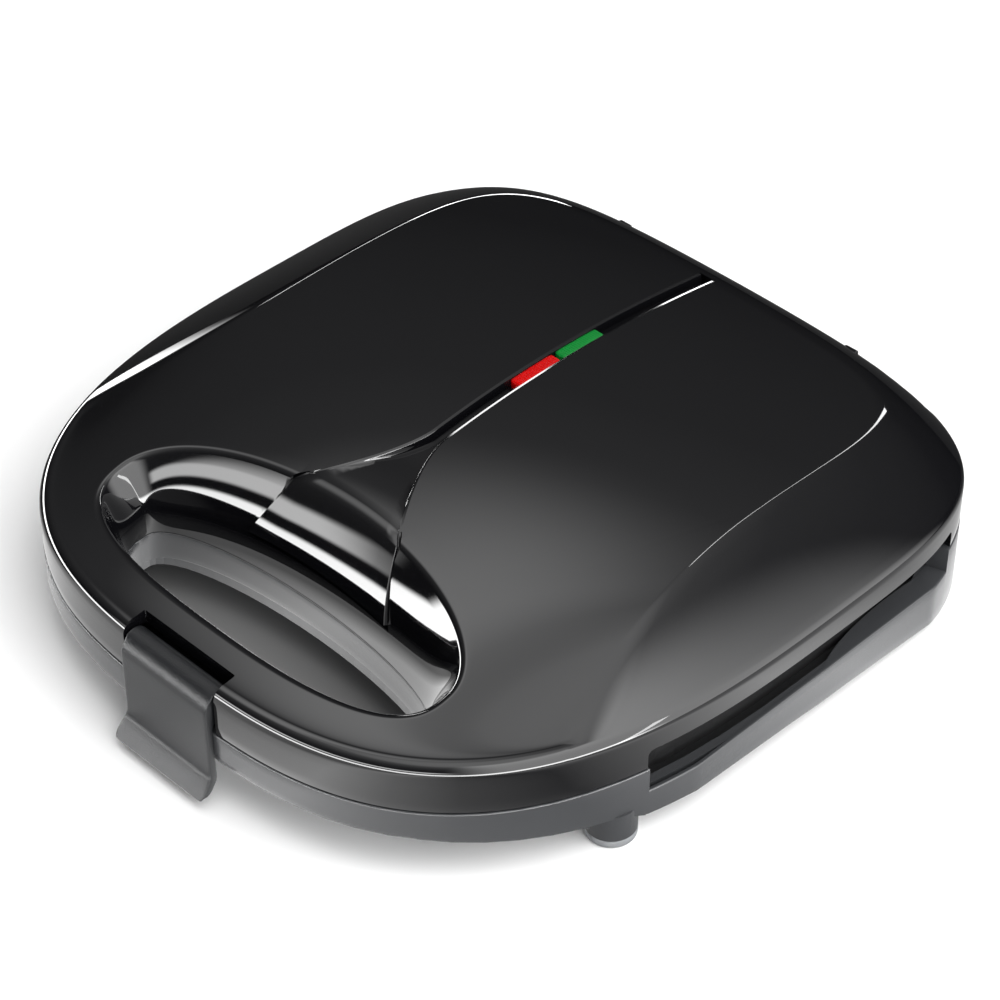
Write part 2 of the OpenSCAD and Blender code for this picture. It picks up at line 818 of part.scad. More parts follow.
module plate_screws() {
    for (y = plate_boss_y) translate([0, y, pan_floor_z - head_gap]) screw(plate_screw_len, screw_r);
}

module base_screws() at_screws() translate([0, 0, screw_seat_z - head_gap]) screw(screw_len, screw_r);

module thermostat() {
    cup_z = plate_low - fit_gap - thermostat_cup;
    base_z = cup_z - thermostat_base;
    translate([0, plate_mid_y, cup_z]) cylinder(d = thermostat_d, h = thermostat_cup);
    translate([0, plate_mid_y, base_z]) cylinder(d = thermostat_d - 2, h = thermostat_base + eps);
    for (s = [-1, 1]) translate([0, plate_mid_y + s*tab_pitch/2, base_z - tab_size[2]/2 + eps])
        cube(tab_size, center = true);
}

module thermal_fuse() {
    translate([0, fuse_y, plate_low - fuse_r - fit_gap]) rotate([90, 0, 0]) {
        cylinder(r = fuse_r, h = fuse_len, center = true);
        cylinder(r = lead_r, h = fuse_lead, center = true);
    }
}

module terminal_block() {
    pitch = terminal_size[0]/3;
    translate([-terminal_size[0]/2, terminal_y, skirt_rear_z + floor_t + fit_gap]) difference() {
        cube(terminal_size);
        for (i = [0.5:1:2.5]) translate([i*pitch, -1, terminal_size[2]/2]) rotate([-90, 0, 0])
            cylinder(r = terminal_hole_r, h = terminal_size[1] + 2);
    }
}

// Bush that guides the supply cord through the rear wall
module cord_bush() {
    outer = bush_bore_r + bush_wall;
    translate([0, rear_y, bush_z]) rotate([-90, 0, 0]) difference() {
        union() {
            translate([0, 0, -2*wall]) cylinder(r = outer + trim_gap + 1, h = wall - fit_gap);
            translate([0, 0, -wall - 1]) cylinder(r = outer, h = wall + 2);
            translate([0, 0, fit_gap]) cylinder(r = outer + 2, h = bush_flange);
        }
        cylinder(r = bush_bore_r, h = far, center = true);
    }
}

module hinge_pin(s) {
    reach = slot_w/2 + lug_w - pin_short;
    bar(pin_r, s*arm_x - reach, s*arm_x + reach, hinge_y, hinge_z);
}

// ---- Lid ----

module lid_lugs() {
    at_arms() for (s = [-1, 1]) translate([s*(slot_w + lug_w)/2, 0, 0]) {
        bar(eye_r, -lug_w/2, lug_w/2, hinge_y, hinge_z);
        block([-lug_w/2, hinge_y - eye_r, hinge_z], [lug_w/2, rear_y, part_z + far]);
        block([-lug_w/2, hinge_y, hinge_z - eye_r], [lug_w/2, rear_y, hinge_z + 1]);
    }
}

module at_ears(z) for (s = [-1, 1]) translate([s*ear_x, lamps_y, z]) children();

module lid_posts() {
    opening(wall);
    lid_lugs();
    at_screws() translate([0, 0, 2*part_z - boss_split_z]) cylinder(r = boss_r, h = far);
    at_ears(holder_z + ear_t + fit_gap) cylinder(r = ear_boss_r, h = far);
    clip_notch(notch_wall);
    end_walls(skirt_inset, 0, lid_edge_z + wall);
}

module clip_notch(grow) {
    reach = notch_half_w + grow;
    block([-reach, front_y - 2*wall, part_z - wall], [reach, notch_back_y + grow, part_z + far]);
}

module lid_shell() {
    cheek = notch_half_w + notch_wall + seat_gap;
    difference() {
        lid_outside();
        difference() {
            lid_inside();
            lid_posts();
        }
        opening();
        side_bands(0, part_z - 1, lid_edge_z);
        clip_notch(0);
        bar(clip_pin_r + pin_fit, -cheek, cheek, clip_pivot_y, clip_pivot_z);
        at_arms() block([-slot_w/2, hinge_y - stem_front, part_z],
            [slot_w/2, rear_y + wall, hinge_z + slot_rise]);
        bar(pin_r + pin_fit, -half_w/2, half_w/2, hinge_y, hinge_z);
        at_screws() translate([0, 0, part_z])
            cylinder(r = screw_r + screw_fit, h = lid_seat_z + screw_len + tip_gap - part_z);
        at_ears(holder_z) cylinder(r = lamp_screw_r + screw_fit, h = lamp_screw_len + tip_gap);
        strip_slot();
    }
}

module lid_liner() {
    shelf_z = lid_edge_z + 1;
    lug_reach = slot_w/2 + lug_w + 1;
    difference() {
        union() {
            upper() liner_flange(skirt_inset);
            side_wall(skirt_inset, 2*part_z - liner_top, shelf_z + liner_t);
            side_shelf(wall + seat_gap, skirt_inset, shelf_z);
            at_screws() translate([0, 0, 2*part_z - liner_low])
                cylinder(r = boss_r, h = liner_low - boss_split_z - fit_gap);
        }
        upper() liner_windows();
        opening(wall + seat_gap);
        at_arms() block([-lug_reach, hinge_y - eye_r - 1, 0], [lug_reach, rear_y, part_z + far]);
        clip_notch(notch_wall + seat_gap);
        at_screws() {
            cylinder(r = screw_r + screw_clear, h = part_z + far);
            cylinder(r = head_r + screw_clear, h = lid_seat_z);
        }
    }
}

module lid_screws() at_screws() translate([0, 0, lid_seat_z - head_gap]) screw(screw_len, screw_r);

// ---- Centre strip and lamps ----

function strip_half(y) =
    let (t = min(1, max(0, (flare_y - y)/flare_len)))
    strip_w/2 + (flare_half_w - strip_w/2)*pow(t, edge_sweep);

// Places along the strip, closer together in the flare
function strip_y(i) =
    let (t = 2*i/strip_steps)
    t < 1 ? strip_front_y + (flare_y - strip_front_y)*t : flare_y + (strip_rear_y - flare_y)*(t - 1);

// Cross-section of the strip at one place along it
function strip_section(i) =
    let (y = strip_y(i), h = strip_half(y), top = part_z + panel_z(h, y) - strip_sink,
        low = top - groove_d - strip_t, edge = top - edge_bevel, dish = top - groove_d - (h - strip_w/2)*dish_slope)
    [[-h, y, low], [-h, y, edge], [-h/2, y, dish], [h/2, y, dish], [h, y, edge], [h, y, low]];

// Cross-section of the slot in the lid at the same place
function slot_section(i, y) =
    let (h = strip_half(y) + trim_gap, low = strip_section(i)[0][2] - trim_gap)
    [[-h, y, low], [-h, y, part_z + far], [h, y, part_z + far], [h, y, low]];

module strip_slot() {
    ahead = slot_section(0, strip_front_y - wall);
    behind = slot_section(strip_steps, strip_rear_y + trim_gap);
    loft(concat([ahead], [for (i = [0:strip_steps - 1]) slot_section(i, strip_y(i))], [behind]));
}

module lens_prism(y, grow, z0, z1) {
    r = lens_w/2 + grow;
    reach = (lens_l - lens_w)/2;
    for (s = [-1, 1]) translate([0, y + s*reach, z0]) cylinder(r = r, h = z1 - z0);
    block([-r, y - reach, z0], [r, y + reach, z1]);
}

module centre_strip() {
    difference() {
        union() {
            loft([for (i = [0:strip_steps]) strip_section(i)]);
            for (y = tab_y) translate([0, y, part_z + panel_z(0, y) - wall - tab_gap - tab_t/2])
                cube([strip_w + 2*tab_overhang, 2*tab_half_l, tab_t], center = true);
        }
        for (y = [red_y, green_y]) lens_prism(y, trim_gap, rim_z, part_z + far);
    }
}

module lens(y) {
    top = part_z + panel_z(0, y) - groove_d - lens_sink;
    lens_prism(y, 0, top - lens_t, top);
}

module lamp(y) {
    translate([0, y, holder_z + ear_t + lamp_r + fit_gap]) rotate([90, 0, 0]) {
        cylinder(r = lamp_r, h = lamp_len, center = true);
        for (s = [-1, 1]) translate([s*lamp_lead_x, 0, -lamp_len/2 - lamp_lead])
            cylinder(r = lamp_lead_r, h = lamp_len/2);
    }
}

module lamp_holder() {
    half_l = holder_half_l;
    difference() {
        union() {
            block([-holder_w/2, lamps_y - half_l, holder_z],
                [holder_w/2, lamps_y + half_l, holder_z + holder_h]);
            block([-ear_x - ear_half, lamps_y - ear_half, holder_z],
                [ear_x + ear_half, lamps_y + ear_half, holder_z + ear_t]);
        }
        block([holder_t - holder_w/2, lamps_y - half_l + holder_t, holder_z + ear_t],
            [holder_w/2 - holder_t, lamps_y + half_l - holder_t, part_z + far]);
        at_ears(0) cylinder(r = lamp_screw_r + screw_clear, h = part_z + far);
    }
}

module lamp_screws() at_ears(holder_z - head_gap) screw(lamp_screw_len, lamp_screw_r);

// ---- Clip ----

// Side view of the clip below its barrel: the plate with the catch behind it
function clip_side() =
    let (back = clip_face_y, nib = ring_z - catch_gap)
    [[back - clip_t, clip_pivot_z], [back - clip_t, clip_low_z], [back, clip_low_z],
        [back + catch_rise, clip_low_z + 1], [back + catch_rise, nib - catch_rise], [back, nib], [back, clip_pivot_z]];

// Side view of the lip at the clip's foot
function lip_side() =
    let (face = clip_face_y - clip_t, tip = face - lip_reach, low = clip_low_z - lip_fall)
    [[face, clip_low_z + clip_t], [tip, low + clip_t/2], [tip + clip_t/2, low], [clip_face_y, clip_low_z]];

module across(half, side) rotate([90, 0, 90]) translate([0, 0, -half]) linear_extrude(2*half) polygon(side);

module clip() {
    difference() {
        union() {
            across(clip_half_w, clip_side());
            across(clip_half_w + lip_flare, lip_side());
            bar(barrel_r, -clip_half_w, clip_half_w, clip_pivot_y, clip_pivot_z);
            intersection() {
                bar(clip_r, -clip_half_w, clip_half_w, clip_pivot_y, clip_pivot_z);
                block([-clip_w, clip_pivot_y - clip_r - 1, clip_pivot_z - 1],
                    [clip_w, clip_pivot_y, clip_pivot_z + clip_r + 1]);
            }
        }
        bar(clip_pin_r + pin_fit, -clip_w, clip_w, clip_pivot_y, clip_pivot_z);
    }
}

module clip_pin() {
    reach = notch_half_w + notch_wall - fit_gap;
    bar(clip_pin_r, -reach, reach, clip_pivot_y, clip_pivot_z);
}

color(dark_plastic) base_shell();
color(coated) base_liner();
color(coated) plate();  // lower_plate
color(steel) element();  // lower_element
color(steel) reflector();  // lower_reflector
color(steel) element_clips();  // lower_element_clips
color(steel) plate_screws();  // lower_plate_screws
color(steel) base_screws();
color(ceramic_white) thermostat();
color(steel) thermal_fuse();
color(ceramic_white) terminal_block();
color(rubber_black) cord_bush();
color(rubber_black) foot(-foot_front_x, foot_front_y);  // foot_front_left
color(rubber_black) foot(foot_front_x, foot_front_y);  // foot_front_right
color(rubber_black) foot(-foot_rear_x, foot_rear_y);  // foot_rear_left
color(rubber_black) foot(foot_rear_x, foot_rear_y);  // foot_rear_right
color(steel) hinge_pin(-1);  // hinge_pin_left
color(steel) hinge_pin(1);  // hinge_pin_right
color(gloss_black) lid_shell();
color(coated) lid_liner();
color(coated) upper() plate();  // upper_plate
color(steel) upper() element();  // upper_element
color(steel) upper() reflector();  // upper_reflector
color(steel) upper() element_clips();  // upper_element_clips
color(steel) upper() plate_screws();  // upper_plate_screws
color(steel) lid_screws();
color(gloss_black) centre_strip();
color(red_glow) lens(red_y);  // red_lens
color(green_glow) lens(green_y);  // green_lens
color(lamp_glass) lamp(red_y);  // red_lamp
color(lamp_glass) lamp(green_y);  // green_lamp
color(ceramic_white) lamp_holder();
color(steel) lamp_screws();
color(steel) clip_pin();
color(satin_grey) clip();
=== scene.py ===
"""Dresses the slim two-slice sandwich toaster: shells, clip, trim, plates, feet and a plain studio."""

import logging
import math
from collections.abc import Callable
from dataclasses import dataclass, field, replace
from enum import Enum

import bmesh
import bpy
from mathutils import Matrix, Vector


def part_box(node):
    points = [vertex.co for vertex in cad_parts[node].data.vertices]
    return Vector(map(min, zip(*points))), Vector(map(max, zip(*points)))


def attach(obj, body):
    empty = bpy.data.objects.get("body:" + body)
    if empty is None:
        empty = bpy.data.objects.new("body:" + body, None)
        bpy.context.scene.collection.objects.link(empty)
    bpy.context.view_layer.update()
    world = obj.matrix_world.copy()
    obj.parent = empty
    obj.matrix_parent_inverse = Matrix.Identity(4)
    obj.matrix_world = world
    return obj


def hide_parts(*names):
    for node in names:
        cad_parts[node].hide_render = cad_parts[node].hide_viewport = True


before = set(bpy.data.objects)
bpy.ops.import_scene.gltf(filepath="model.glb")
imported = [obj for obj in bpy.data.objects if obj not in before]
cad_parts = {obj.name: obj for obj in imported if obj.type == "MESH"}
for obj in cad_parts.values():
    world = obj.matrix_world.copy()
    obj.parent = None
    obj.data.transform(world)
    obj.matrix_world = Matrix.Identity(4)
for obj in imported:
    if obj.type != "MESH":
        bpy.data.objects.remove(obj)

LOG = logging.getLogger("toaster")
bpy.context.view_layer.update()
MM = 0.001
GRAIN_HEIGHT = 0.0002
RED_LENS_Y, GREEN_LENS_Y = 28.0, 46.7
QUARTER = math.pi / 2
Placer = Callable[[float, float], Vector]


class Moves(Enum):
    """The body of the toaster that a piece moves with."""

    BASE = "base"
    LID = "lid"
    CLIP = "clip"


# ---- Shaping helpers ----


def signed_power(value: float, power: float) -> float:
    """Raises a number's size to a power and keeps its sign."""
    return math.copysign(abs(value) ** power, value)


def mix(low: float, high: float, share: float) -> float:
    """Number between low and high at a share of the way."""
    return low + (high - low) * share


def graded(count: int, start: float, end: float, bias: float = 1.0) -> list[float]:
    """Spaces numbers from start to end.

    Args:
        count: how many steps there are between them.
        start: the first number.
        end: the last number.
        bias: above 1 the steps are short at the start, below 1 at the end.

    Returns:
        count + 1 numbers.
    """
    return [start + (end - start) * (i / count) ** bias for i in range(count + 1)]


def placed_grid(bm: bmesh.types.BMesh, columns: list[float], rows: list[float], place: Placer,
                closed: bool) -> list[bmesh.types.BMVert]:
    """Lays a grid over a surface.

    Args:
        bm: the mesh that gains the grid.
        columns: the surface's first coordinate at each column of corners.
        rows: its second coordinate at each row of corners.
        place: gives the point for the two coordinates, in millimetres.
        closed: whether the last column meets the first.

    Returns:
        The grid's vertices.
    """
    wide, high = len(columns) - 1, len(rows) - 1
    grid = bmesh.ops.create_grid(bm, x_segments=wide, y_segments=high, size=0.5)["verts"]
    for vert in grid:
        column, row = round((vert.co.x + 0.5) * wide), round((vert.co.y + 0.5) * high)
        vert.co = place(columns[column], rows[row])
    if closed:
        bmesh.ops.remove_doubles(bm, verts=grid, dist=1e-3)
    return [v for v in grid if v.is_valid]


def skinned(rings: list[list[Vector]]) -> bmesh.types.BMesh:
    """Closed skin over rings of points, in millimetres, of which the last lies on the first."""
    bm = bmesh.new()
    count = len(rings[0])
    placed_grid(bm, list(range(len(rings))), list(range(count + 1)),
                lambda i, j: rings[round(i)][round(j) % count], True)
    bmesh.ops.recalc_face_normals(bm, faces=bm.faces)
    return bm


def doubled(bm: bmesh.types.BMesh) -> list[bmesh.types.BMVert]:
    """Extrudes a mesh's faces in place and gives the new corners, for the caller to move."""
    made = bmesh.ops.extrude_face_region(bm, geom=bm.faces)["geom"]
    return [g for g in made if isinstance(g, bmesh.types.BMVert)]


def clamped(value: float) -> float:
    """Value held between 0 and 1."""
    return max(0.0, min(1.0, value))


def eased(share: float) -> float:
    """Share from 0 to 1 that starts and ends gently."""
    return share * share * (3 - 2 * share)


def spun(profile: list[tuple[float, float]], segments: int = 64) -> bmesh.types.BMesh:
    """Turns a profile of radius and height, in millimetres, once round Z.

    Args:
        profile: radius and height of each corner, first to last.
        segments: how many steps the turn has.

    Returns:
        A closed mesh, its poles merged.
    """
    bm = bmesh.new()
    verts = [bm.verts.new((r, 0, z)) for r, z in profile]
    edges = [bm.edges.new(pair) for pair in zip(verts, verts[1:])]
    bmesh.ops.spin(bm, geom=verts + edges, cent=(0, 0, 0), axis=(0, 0, 1), angle=2 * math.pi, steps=segments,
                   use_merge=True)
    bmesh.ops.remove_doubles(bm, verts=bm.verts, dist=1e-4)
    bmesh.ops.recalc_face_normals(bm, faces=bm.faces)
    return bm


def rounded_box(low: Vector, high: Vector, radius: float, segments: int = 3) -> bmesh.types.BMesh:
    """Box between two corners with every edge rounded, in millimetres."""
    bm = bmesh.new()
    bmesh.ops.create_cube(bm, size=1)
    bmesh.ops.scale(bm, vec=high - low, verts=bm.verts)
    bmesh.ops.translate(bm, vec=(low + high) / 2, verts=bm.verts)
    bmesh.ops.bevel(bm, geom=bm.edges, offset=radius, segments=segments, profile=0.5, affect="EDGES",
                    material=-1)
    return bm


def mark_sharp(bm: bmesh.types.BMesh, angle: float = 35) -> None:
    """Smooths every face and keeps the edges that bend by more than an angle in degrees."""
    for face in bm.faces:
        face.smooth = True
    for edge in bm.edges:
        edge.smooth = len(edge.link_faces) == 2 and edge.calc_face_angle(0) < math.radians(angle)


def make_object(name: str, bm: bmesh.types.BMesh, sharp: float = 35) -> bpy.types.Object:
    """Turns a mesh in millimetres into an object in metres.

    Args:
        name: the object's name.
        bm: the mesh, which is freed.
        sharp: the bend in degrees above which an edge stays crisp.

    Returns:
        The linked object, at the origin.
    """
    mark_sharp(bm, sharp)
    bmesh.ops.scale(bm, vec=(MM, MM, MM), verts=bm.verts)
    mesh = bpy.data.meshes.new(name)
    bm.to_mesh(mesh)
    bm.free()
    obj = bpy.data.objects.new(name, mesh)
    bpy.context.scene.collection.objects.link(obj)
    return obj


def apply_modifiers(obj: bpy.types.Object, sharp: float = 35) -> None:
    """Bakes an object's modifiers into its mesh and marks its crisp edges again."""
    graph = bpy.context.evaluated_depsgraph_get()
    done = bpy.data.meshes.new_from_object(obj.evaluated_get(graph))
    obj.modifiers.clear()
    obj.data = done
    bm = bmesh.new()
    bm.from_mesh(done)
    mark_sharp(bm, sharp)
    bm.to_mesh(done)
    bm.free()


def cut_away(obj: bpy.types.Object, cutters: list[bmesh.types.BMesh], sharp: float = 35) -> None:
    """Takes closed shapes, in millimetres, out of a closed object."""
    tools = []
    for i, bm in enumerate(cutters):
        bmesh.ops.recalc_face_normals(bm, faces=bm.faces)
        tool = make_object(f"cutter_{i}", bm)
        modifier = obj.modifiers.new(f"cut_{i}", "BOOLEAN")
        modifier.operation, modifier.solver, modifier.object = "DIFFERENCE", "EXACT", tool
        tools.append(tool)
    apply_modifiers(obj, sharp)
    for tool in tools:
        bpy.data.objects.remove(tool)


def cad_copy(name: str, node: str) -> bpy.types.Object:
    """Copy of a CAD node's mesh as an object of its own, its loose triangles merged."""
    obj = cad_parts[node].copy()
    obj.data = obj.data.copy()
    obj.name, obj.parent = name, None
    for key in [k for k in obj.keys() if k.startswith("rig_")]:
        del obj[key]
    bpy.context.scene.collection.objects.link(obj)
    bm = bmesh.new()
    bm.from_mesh(obj.data)
    bmesh.ops.remove_doubles(bm, verts=bm.verts, dist=1e-6)
    bmesh.ops.dissolve_limit(bm, angle_limit=math.radians(0.5), verts=bm.verts, edges=bm.edges)
    mark_sharp(bm)
    bm.to_mesh(obj.data)
    bm.free()
    return obj


def fit(obj: bpy.types.Object, body: Moves, slot: str, finishes: dict[str, bpy.types.Material],
        *nodes: str) -> bpy.types.Object:
    """Dresses a piece and ties it to the frame.

    Args:
        obj: the new piece.
        body: what it moves with.
        slot: the material slot's name, which is also the name of its finish.
        finishes: every finish by its name.
        nodes: the CAD nodes that it stands for.

    Returns:
        The piece.
    """
    obj.data.materials.clear()
    obj.data.materials.append(finishes[slot])
    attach(obj, body.value)
    if nodes:
        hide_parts(*nodes)
    return obj


# ---- Finishes ----


def add_node(tree: bpy.types.NodeTree, kind: str, values: dict | None = None,
             **settings: str) -> bpy.types.Node:
    """Adds a shader node.

    Args:
        tree: the nodes that it joins.
        kind: its type, without the ShaderNode before it.
        values: what each input gets, by name or number: a value, or the socket that feeds it.
        settings: its own settings.

    Returns:
        The node.
    """
    node = tree.nodes.new("ShaderNode" + kind)
    for name, setting in settings.items():
        setattr(node, name, setting)
    for name, value in (values or {}).items():
        if isinstance(value, bpy.types.NodeSocket):
            tree.links.new(value, node.inputs[name])
        else:
            node.inputs[name].default_value = value
    return node


def level_ramp(tree: bpy.types.NodeTree, source: bpy.types.NodeSocket, levels: list[tuple[float, float]],
               top: float) -> bpy.types.NodeSocket:
    """Adds a ramp of grey levels.

    Args:
        tree: the nodes that it joins.
        source: what the ramp reads.
        levels: place from 0 to 1 and level of each stop, in order.
        top: the level that shows as white.

    Returns:
        The ramp's colour.
    """
    ramp = add_node(tree, "ValToRGB", {"Fac": source})
    stops = ramp.color_ramp.elements
    for i, (place, level) in enumerate(levels):
        stop = stops[i] if i < 2 else stops.new(place)
        stop.position, stop.color = place, (*[level / top] * 3, 1)
    return ramp.outputs["Color"]


def node_group(name: str, outputs: dict[str, str], inputs: dict[str, float]) -> tuple:
    """Starts a shader node group.

    Args:
        name: the group's name.
        outputs: name and socket type of each output.
        inputs: name and default of each number that goes in.

    Returns:
        The group, its input node and its output node.
    """
    group = bpy.data.node_groups.new(name, "ShaderNodeTree")
    for label, kind in outputs.items():
        group.interface.new_socket(label, in_out="OUTPUT", socket_type=kind)
    for label, value in inputs.items():
        socket = group.interface.new_socket(label, in_out="INPUT", socket_type="NodeSocketFloat")
        socket.default_value = value
    return group, group.nodes.new("NodeGroupInput"), group.nodes.new("NodeGroupOutput")


def surface_grain() -> bpy.types.ShaderNodeTree:
    """Group for fine moulded grain: a height for a Bump and a soft mottle from 0 to 1."""
    group, inside, outside = node_group(
        "surface_grain", {"Height": "NodeSocketFloat", "Mottle": "NodeSocketFloat"},
        {"Grain Scale": 900.0, "Mottle Scale": 30.0},
    )
    place = add_node(group, "TexCoord").outputs["Object"]
    for label, detail, out in (("Grain Scale", 3, "Height"), ("Mottle Scale", 4, "Mottle")):
        scale = inside.outputs[label]
        noise = add_node(group, "TexNoise", {"Vector": place, "Scale": scale, "Detail": detail})
        group.links.new(noise.outputs["Fac"], outside.inputs[out])
    return group


@dataclass(frozen=True)
class Finish:
    """A moulded, cast or coated surface with grain in its height and its roughness."""

    name: str
    colour: tuple[float, float, float]
    worn: tuple[float, float, float]
    roughness: tuple[float, float] = (0.3, 0.4)
    metallic: float = 0.0
    grain_scale: float = 900.0
    mottle_scale: float = 30.0
    grain_depth: float = 0.1
    specular: float = 0.5
    transmission: float = 0.0

    def material(self, grain: bpy.types.ShaderNodeTree) -> bpy.types.Material:
        """Builds the finish.

        Args:
            grain: the shared grain group.

        Returns:
            The material.
        """
        made = bpy.data.materials.new(self.name)
        made.use_nodes = True
        tree = made.node_tree
        shader = tree.nodes["Principled BSDF"]
        shader.inputs["Metallic"].default_value = self.metallic
        shader.inputs["Specular IOR Level"].default_value = self.specular
        shader.inputs["Transmission Weight"].default_value = self.transmission
        texture = tree.nodes.new("ShaderNodeGroup")
        texture.node_tree = grain
        texture.inputs["Grain Scale"].default_value = self.grain_scale
        texture.inputs["Mottle Scale"].default_value = self.mottle_scale
        mottle, height = texture.outputs["Mottle"], texture.outputs["Height"]
        smooth, rough = self.roughness
        tint = add_node(tree, "Mix", {"Factor": mottle, "A": (*self.colour, 1), "B": (*self.worn, 1)},
                        data_type="RGBA")
        gloss = add_node(tree, "MapRange", {"Value": mottle, "To Min": smooth, "To Max": rough})
        bump = add_node(tree, "Bump",
                        {"Strength": self.grain_depth, "Distance": GRAIN_HEIGHT, "Height": height})
        tree.links.new(tint.outputs["Result"], shader.inputs["Base Color"])
        tree.links.new(gloss.outputs["Result"], shader.inputs["Roughness"])
        tree.links.new(bump.outputs["Normal"], shader.inputs["Normal"])
        return made


def linear(code: str) -> tuple[float, float, float]:
    """Linear colour of a hex code."""
    parts = [int(code[i:i + 2], 16) / 255 for i in (0, 2, 4)]
    return tuple(p / 12.92 if p <= 0.04045 else ((p + 0.055) / 1.055) ** 2.4 for p in parts)


FINISHES = (
    Finish("gloss_black", linear("08080a"), linear("0a0a0c"), (0.03, 0.05), grain_depth=0.0),
    Finish("base_black", linear("333436"), linear("3a3b3d"), (0.2, 0.28), grain_scale=1400, grain_depth=0.05),
    Finish("liner_black", linear("0c0c0d"), linear("121213"), (0.4, 0.55), grain_scale=1200, grain_depth=0.3),
    Finish("clip_grey", linear("131416"), linear("17181a"), (0.3, 0.38), grain_scale=2200, grain_depth=0.35,
           specular=0.27),
    Finish("plate_coat", linear("1c1c1e"), linear("2c2c2f"), (0.32, 0.5), grain_scale=1600, mottle_scale=260,
           grain_depth=0.5),
    Finish("steel", linear("b4b6b9"), linear("9a9c9f"), (0.2, 0.38), metallic=1.0, mottle_scale=120),
    Finish("pan_steel", linear("c4c6c8"), linear("a8aaac"), (0.28, 0.45), metallic=1.0, mottle_scale=90,
           grain_depth=0.15),
    Finish("rubber", linear("77797b"), linear("6a6c6e"), (0.5, 0.65), grain_scale=800, grain_depth=0.6),
    Finish("ceramic", linear("ded9ca"), linear("cbc5b4"), (0.4, 0.55), grain_scale=700, grain_depth=0.3),
    Finish("red_clear", linear("bc0202"), linear("9e0000"), (0.22, 0.3), grain_scale=1500, grain_depth=0.15,
           specular=0.15),
    Finish("green_clear", linear("007a2c"), linear("006422"), (0.22, 0.3), grain_scale=1500, grain_depth=0.15,
           specular=0.15),
    Finish("lamp_glass", linear("e9dcc0"), linear("d9c9a6"), (0.05, 0.12), grain_depth=0.05,
           transmission=0.6),
)


# ---- The body's plan and its surfaces, in millimetres ----


@dataclass
class Outline:
    """Rounded plan with a front and a rear half, each with its own depth and squareness."""

    half: float
    mid_y: float
    front: float
    rear: float
    front_n: float
    rear_n: float

    def at(self, angle: float, inset: float = 0.0) -> Vector:
        """Point of the plan at an angle in radians, drawn in by an inset."""
        n = self.front_n if math.sin(angle) < 0 else self.rear_n
        depth = self.front if math.sin(angle) < 0 else self.rear
        x = (self.half - inset) * signed_power(math.cos(angle), 2 / n)
        y = self.mid_y + (depth - inset) * signed_power(math.sin(angle), 2 / n)
        return Vector((x, y, 0))

    def even_angles(self, count: int) -> list[float]:
        """Angles that divide the plan, from its rear middle round, into even lengths.

        Args:
            count: how many steps the whole turn has.

        Returns:
            count + 1 angles, which fall by a whole turn.
        """
        steps = 8 * count
        angles = [QUARTER - 2 * math.pi * i / steps for i in range(steps + 1)]
        walked, points = [0.0], [self.at(a) for a in angles]
        for a, b in zip(points, points[1:]):
            walked.append(walked[-1] + (b - a).length)
        even, k = [], 0
        for i in range(count + 1):
            goal = walked[-1] * i / count
            while k < steps - 1 and walked[k + 1] < goal:
                k += 1
            share = (goal - walked[k]) / (walked[k + 1] - walked[k])
            even.append(mix(angles[k], angles[k + 1], share))
        return even


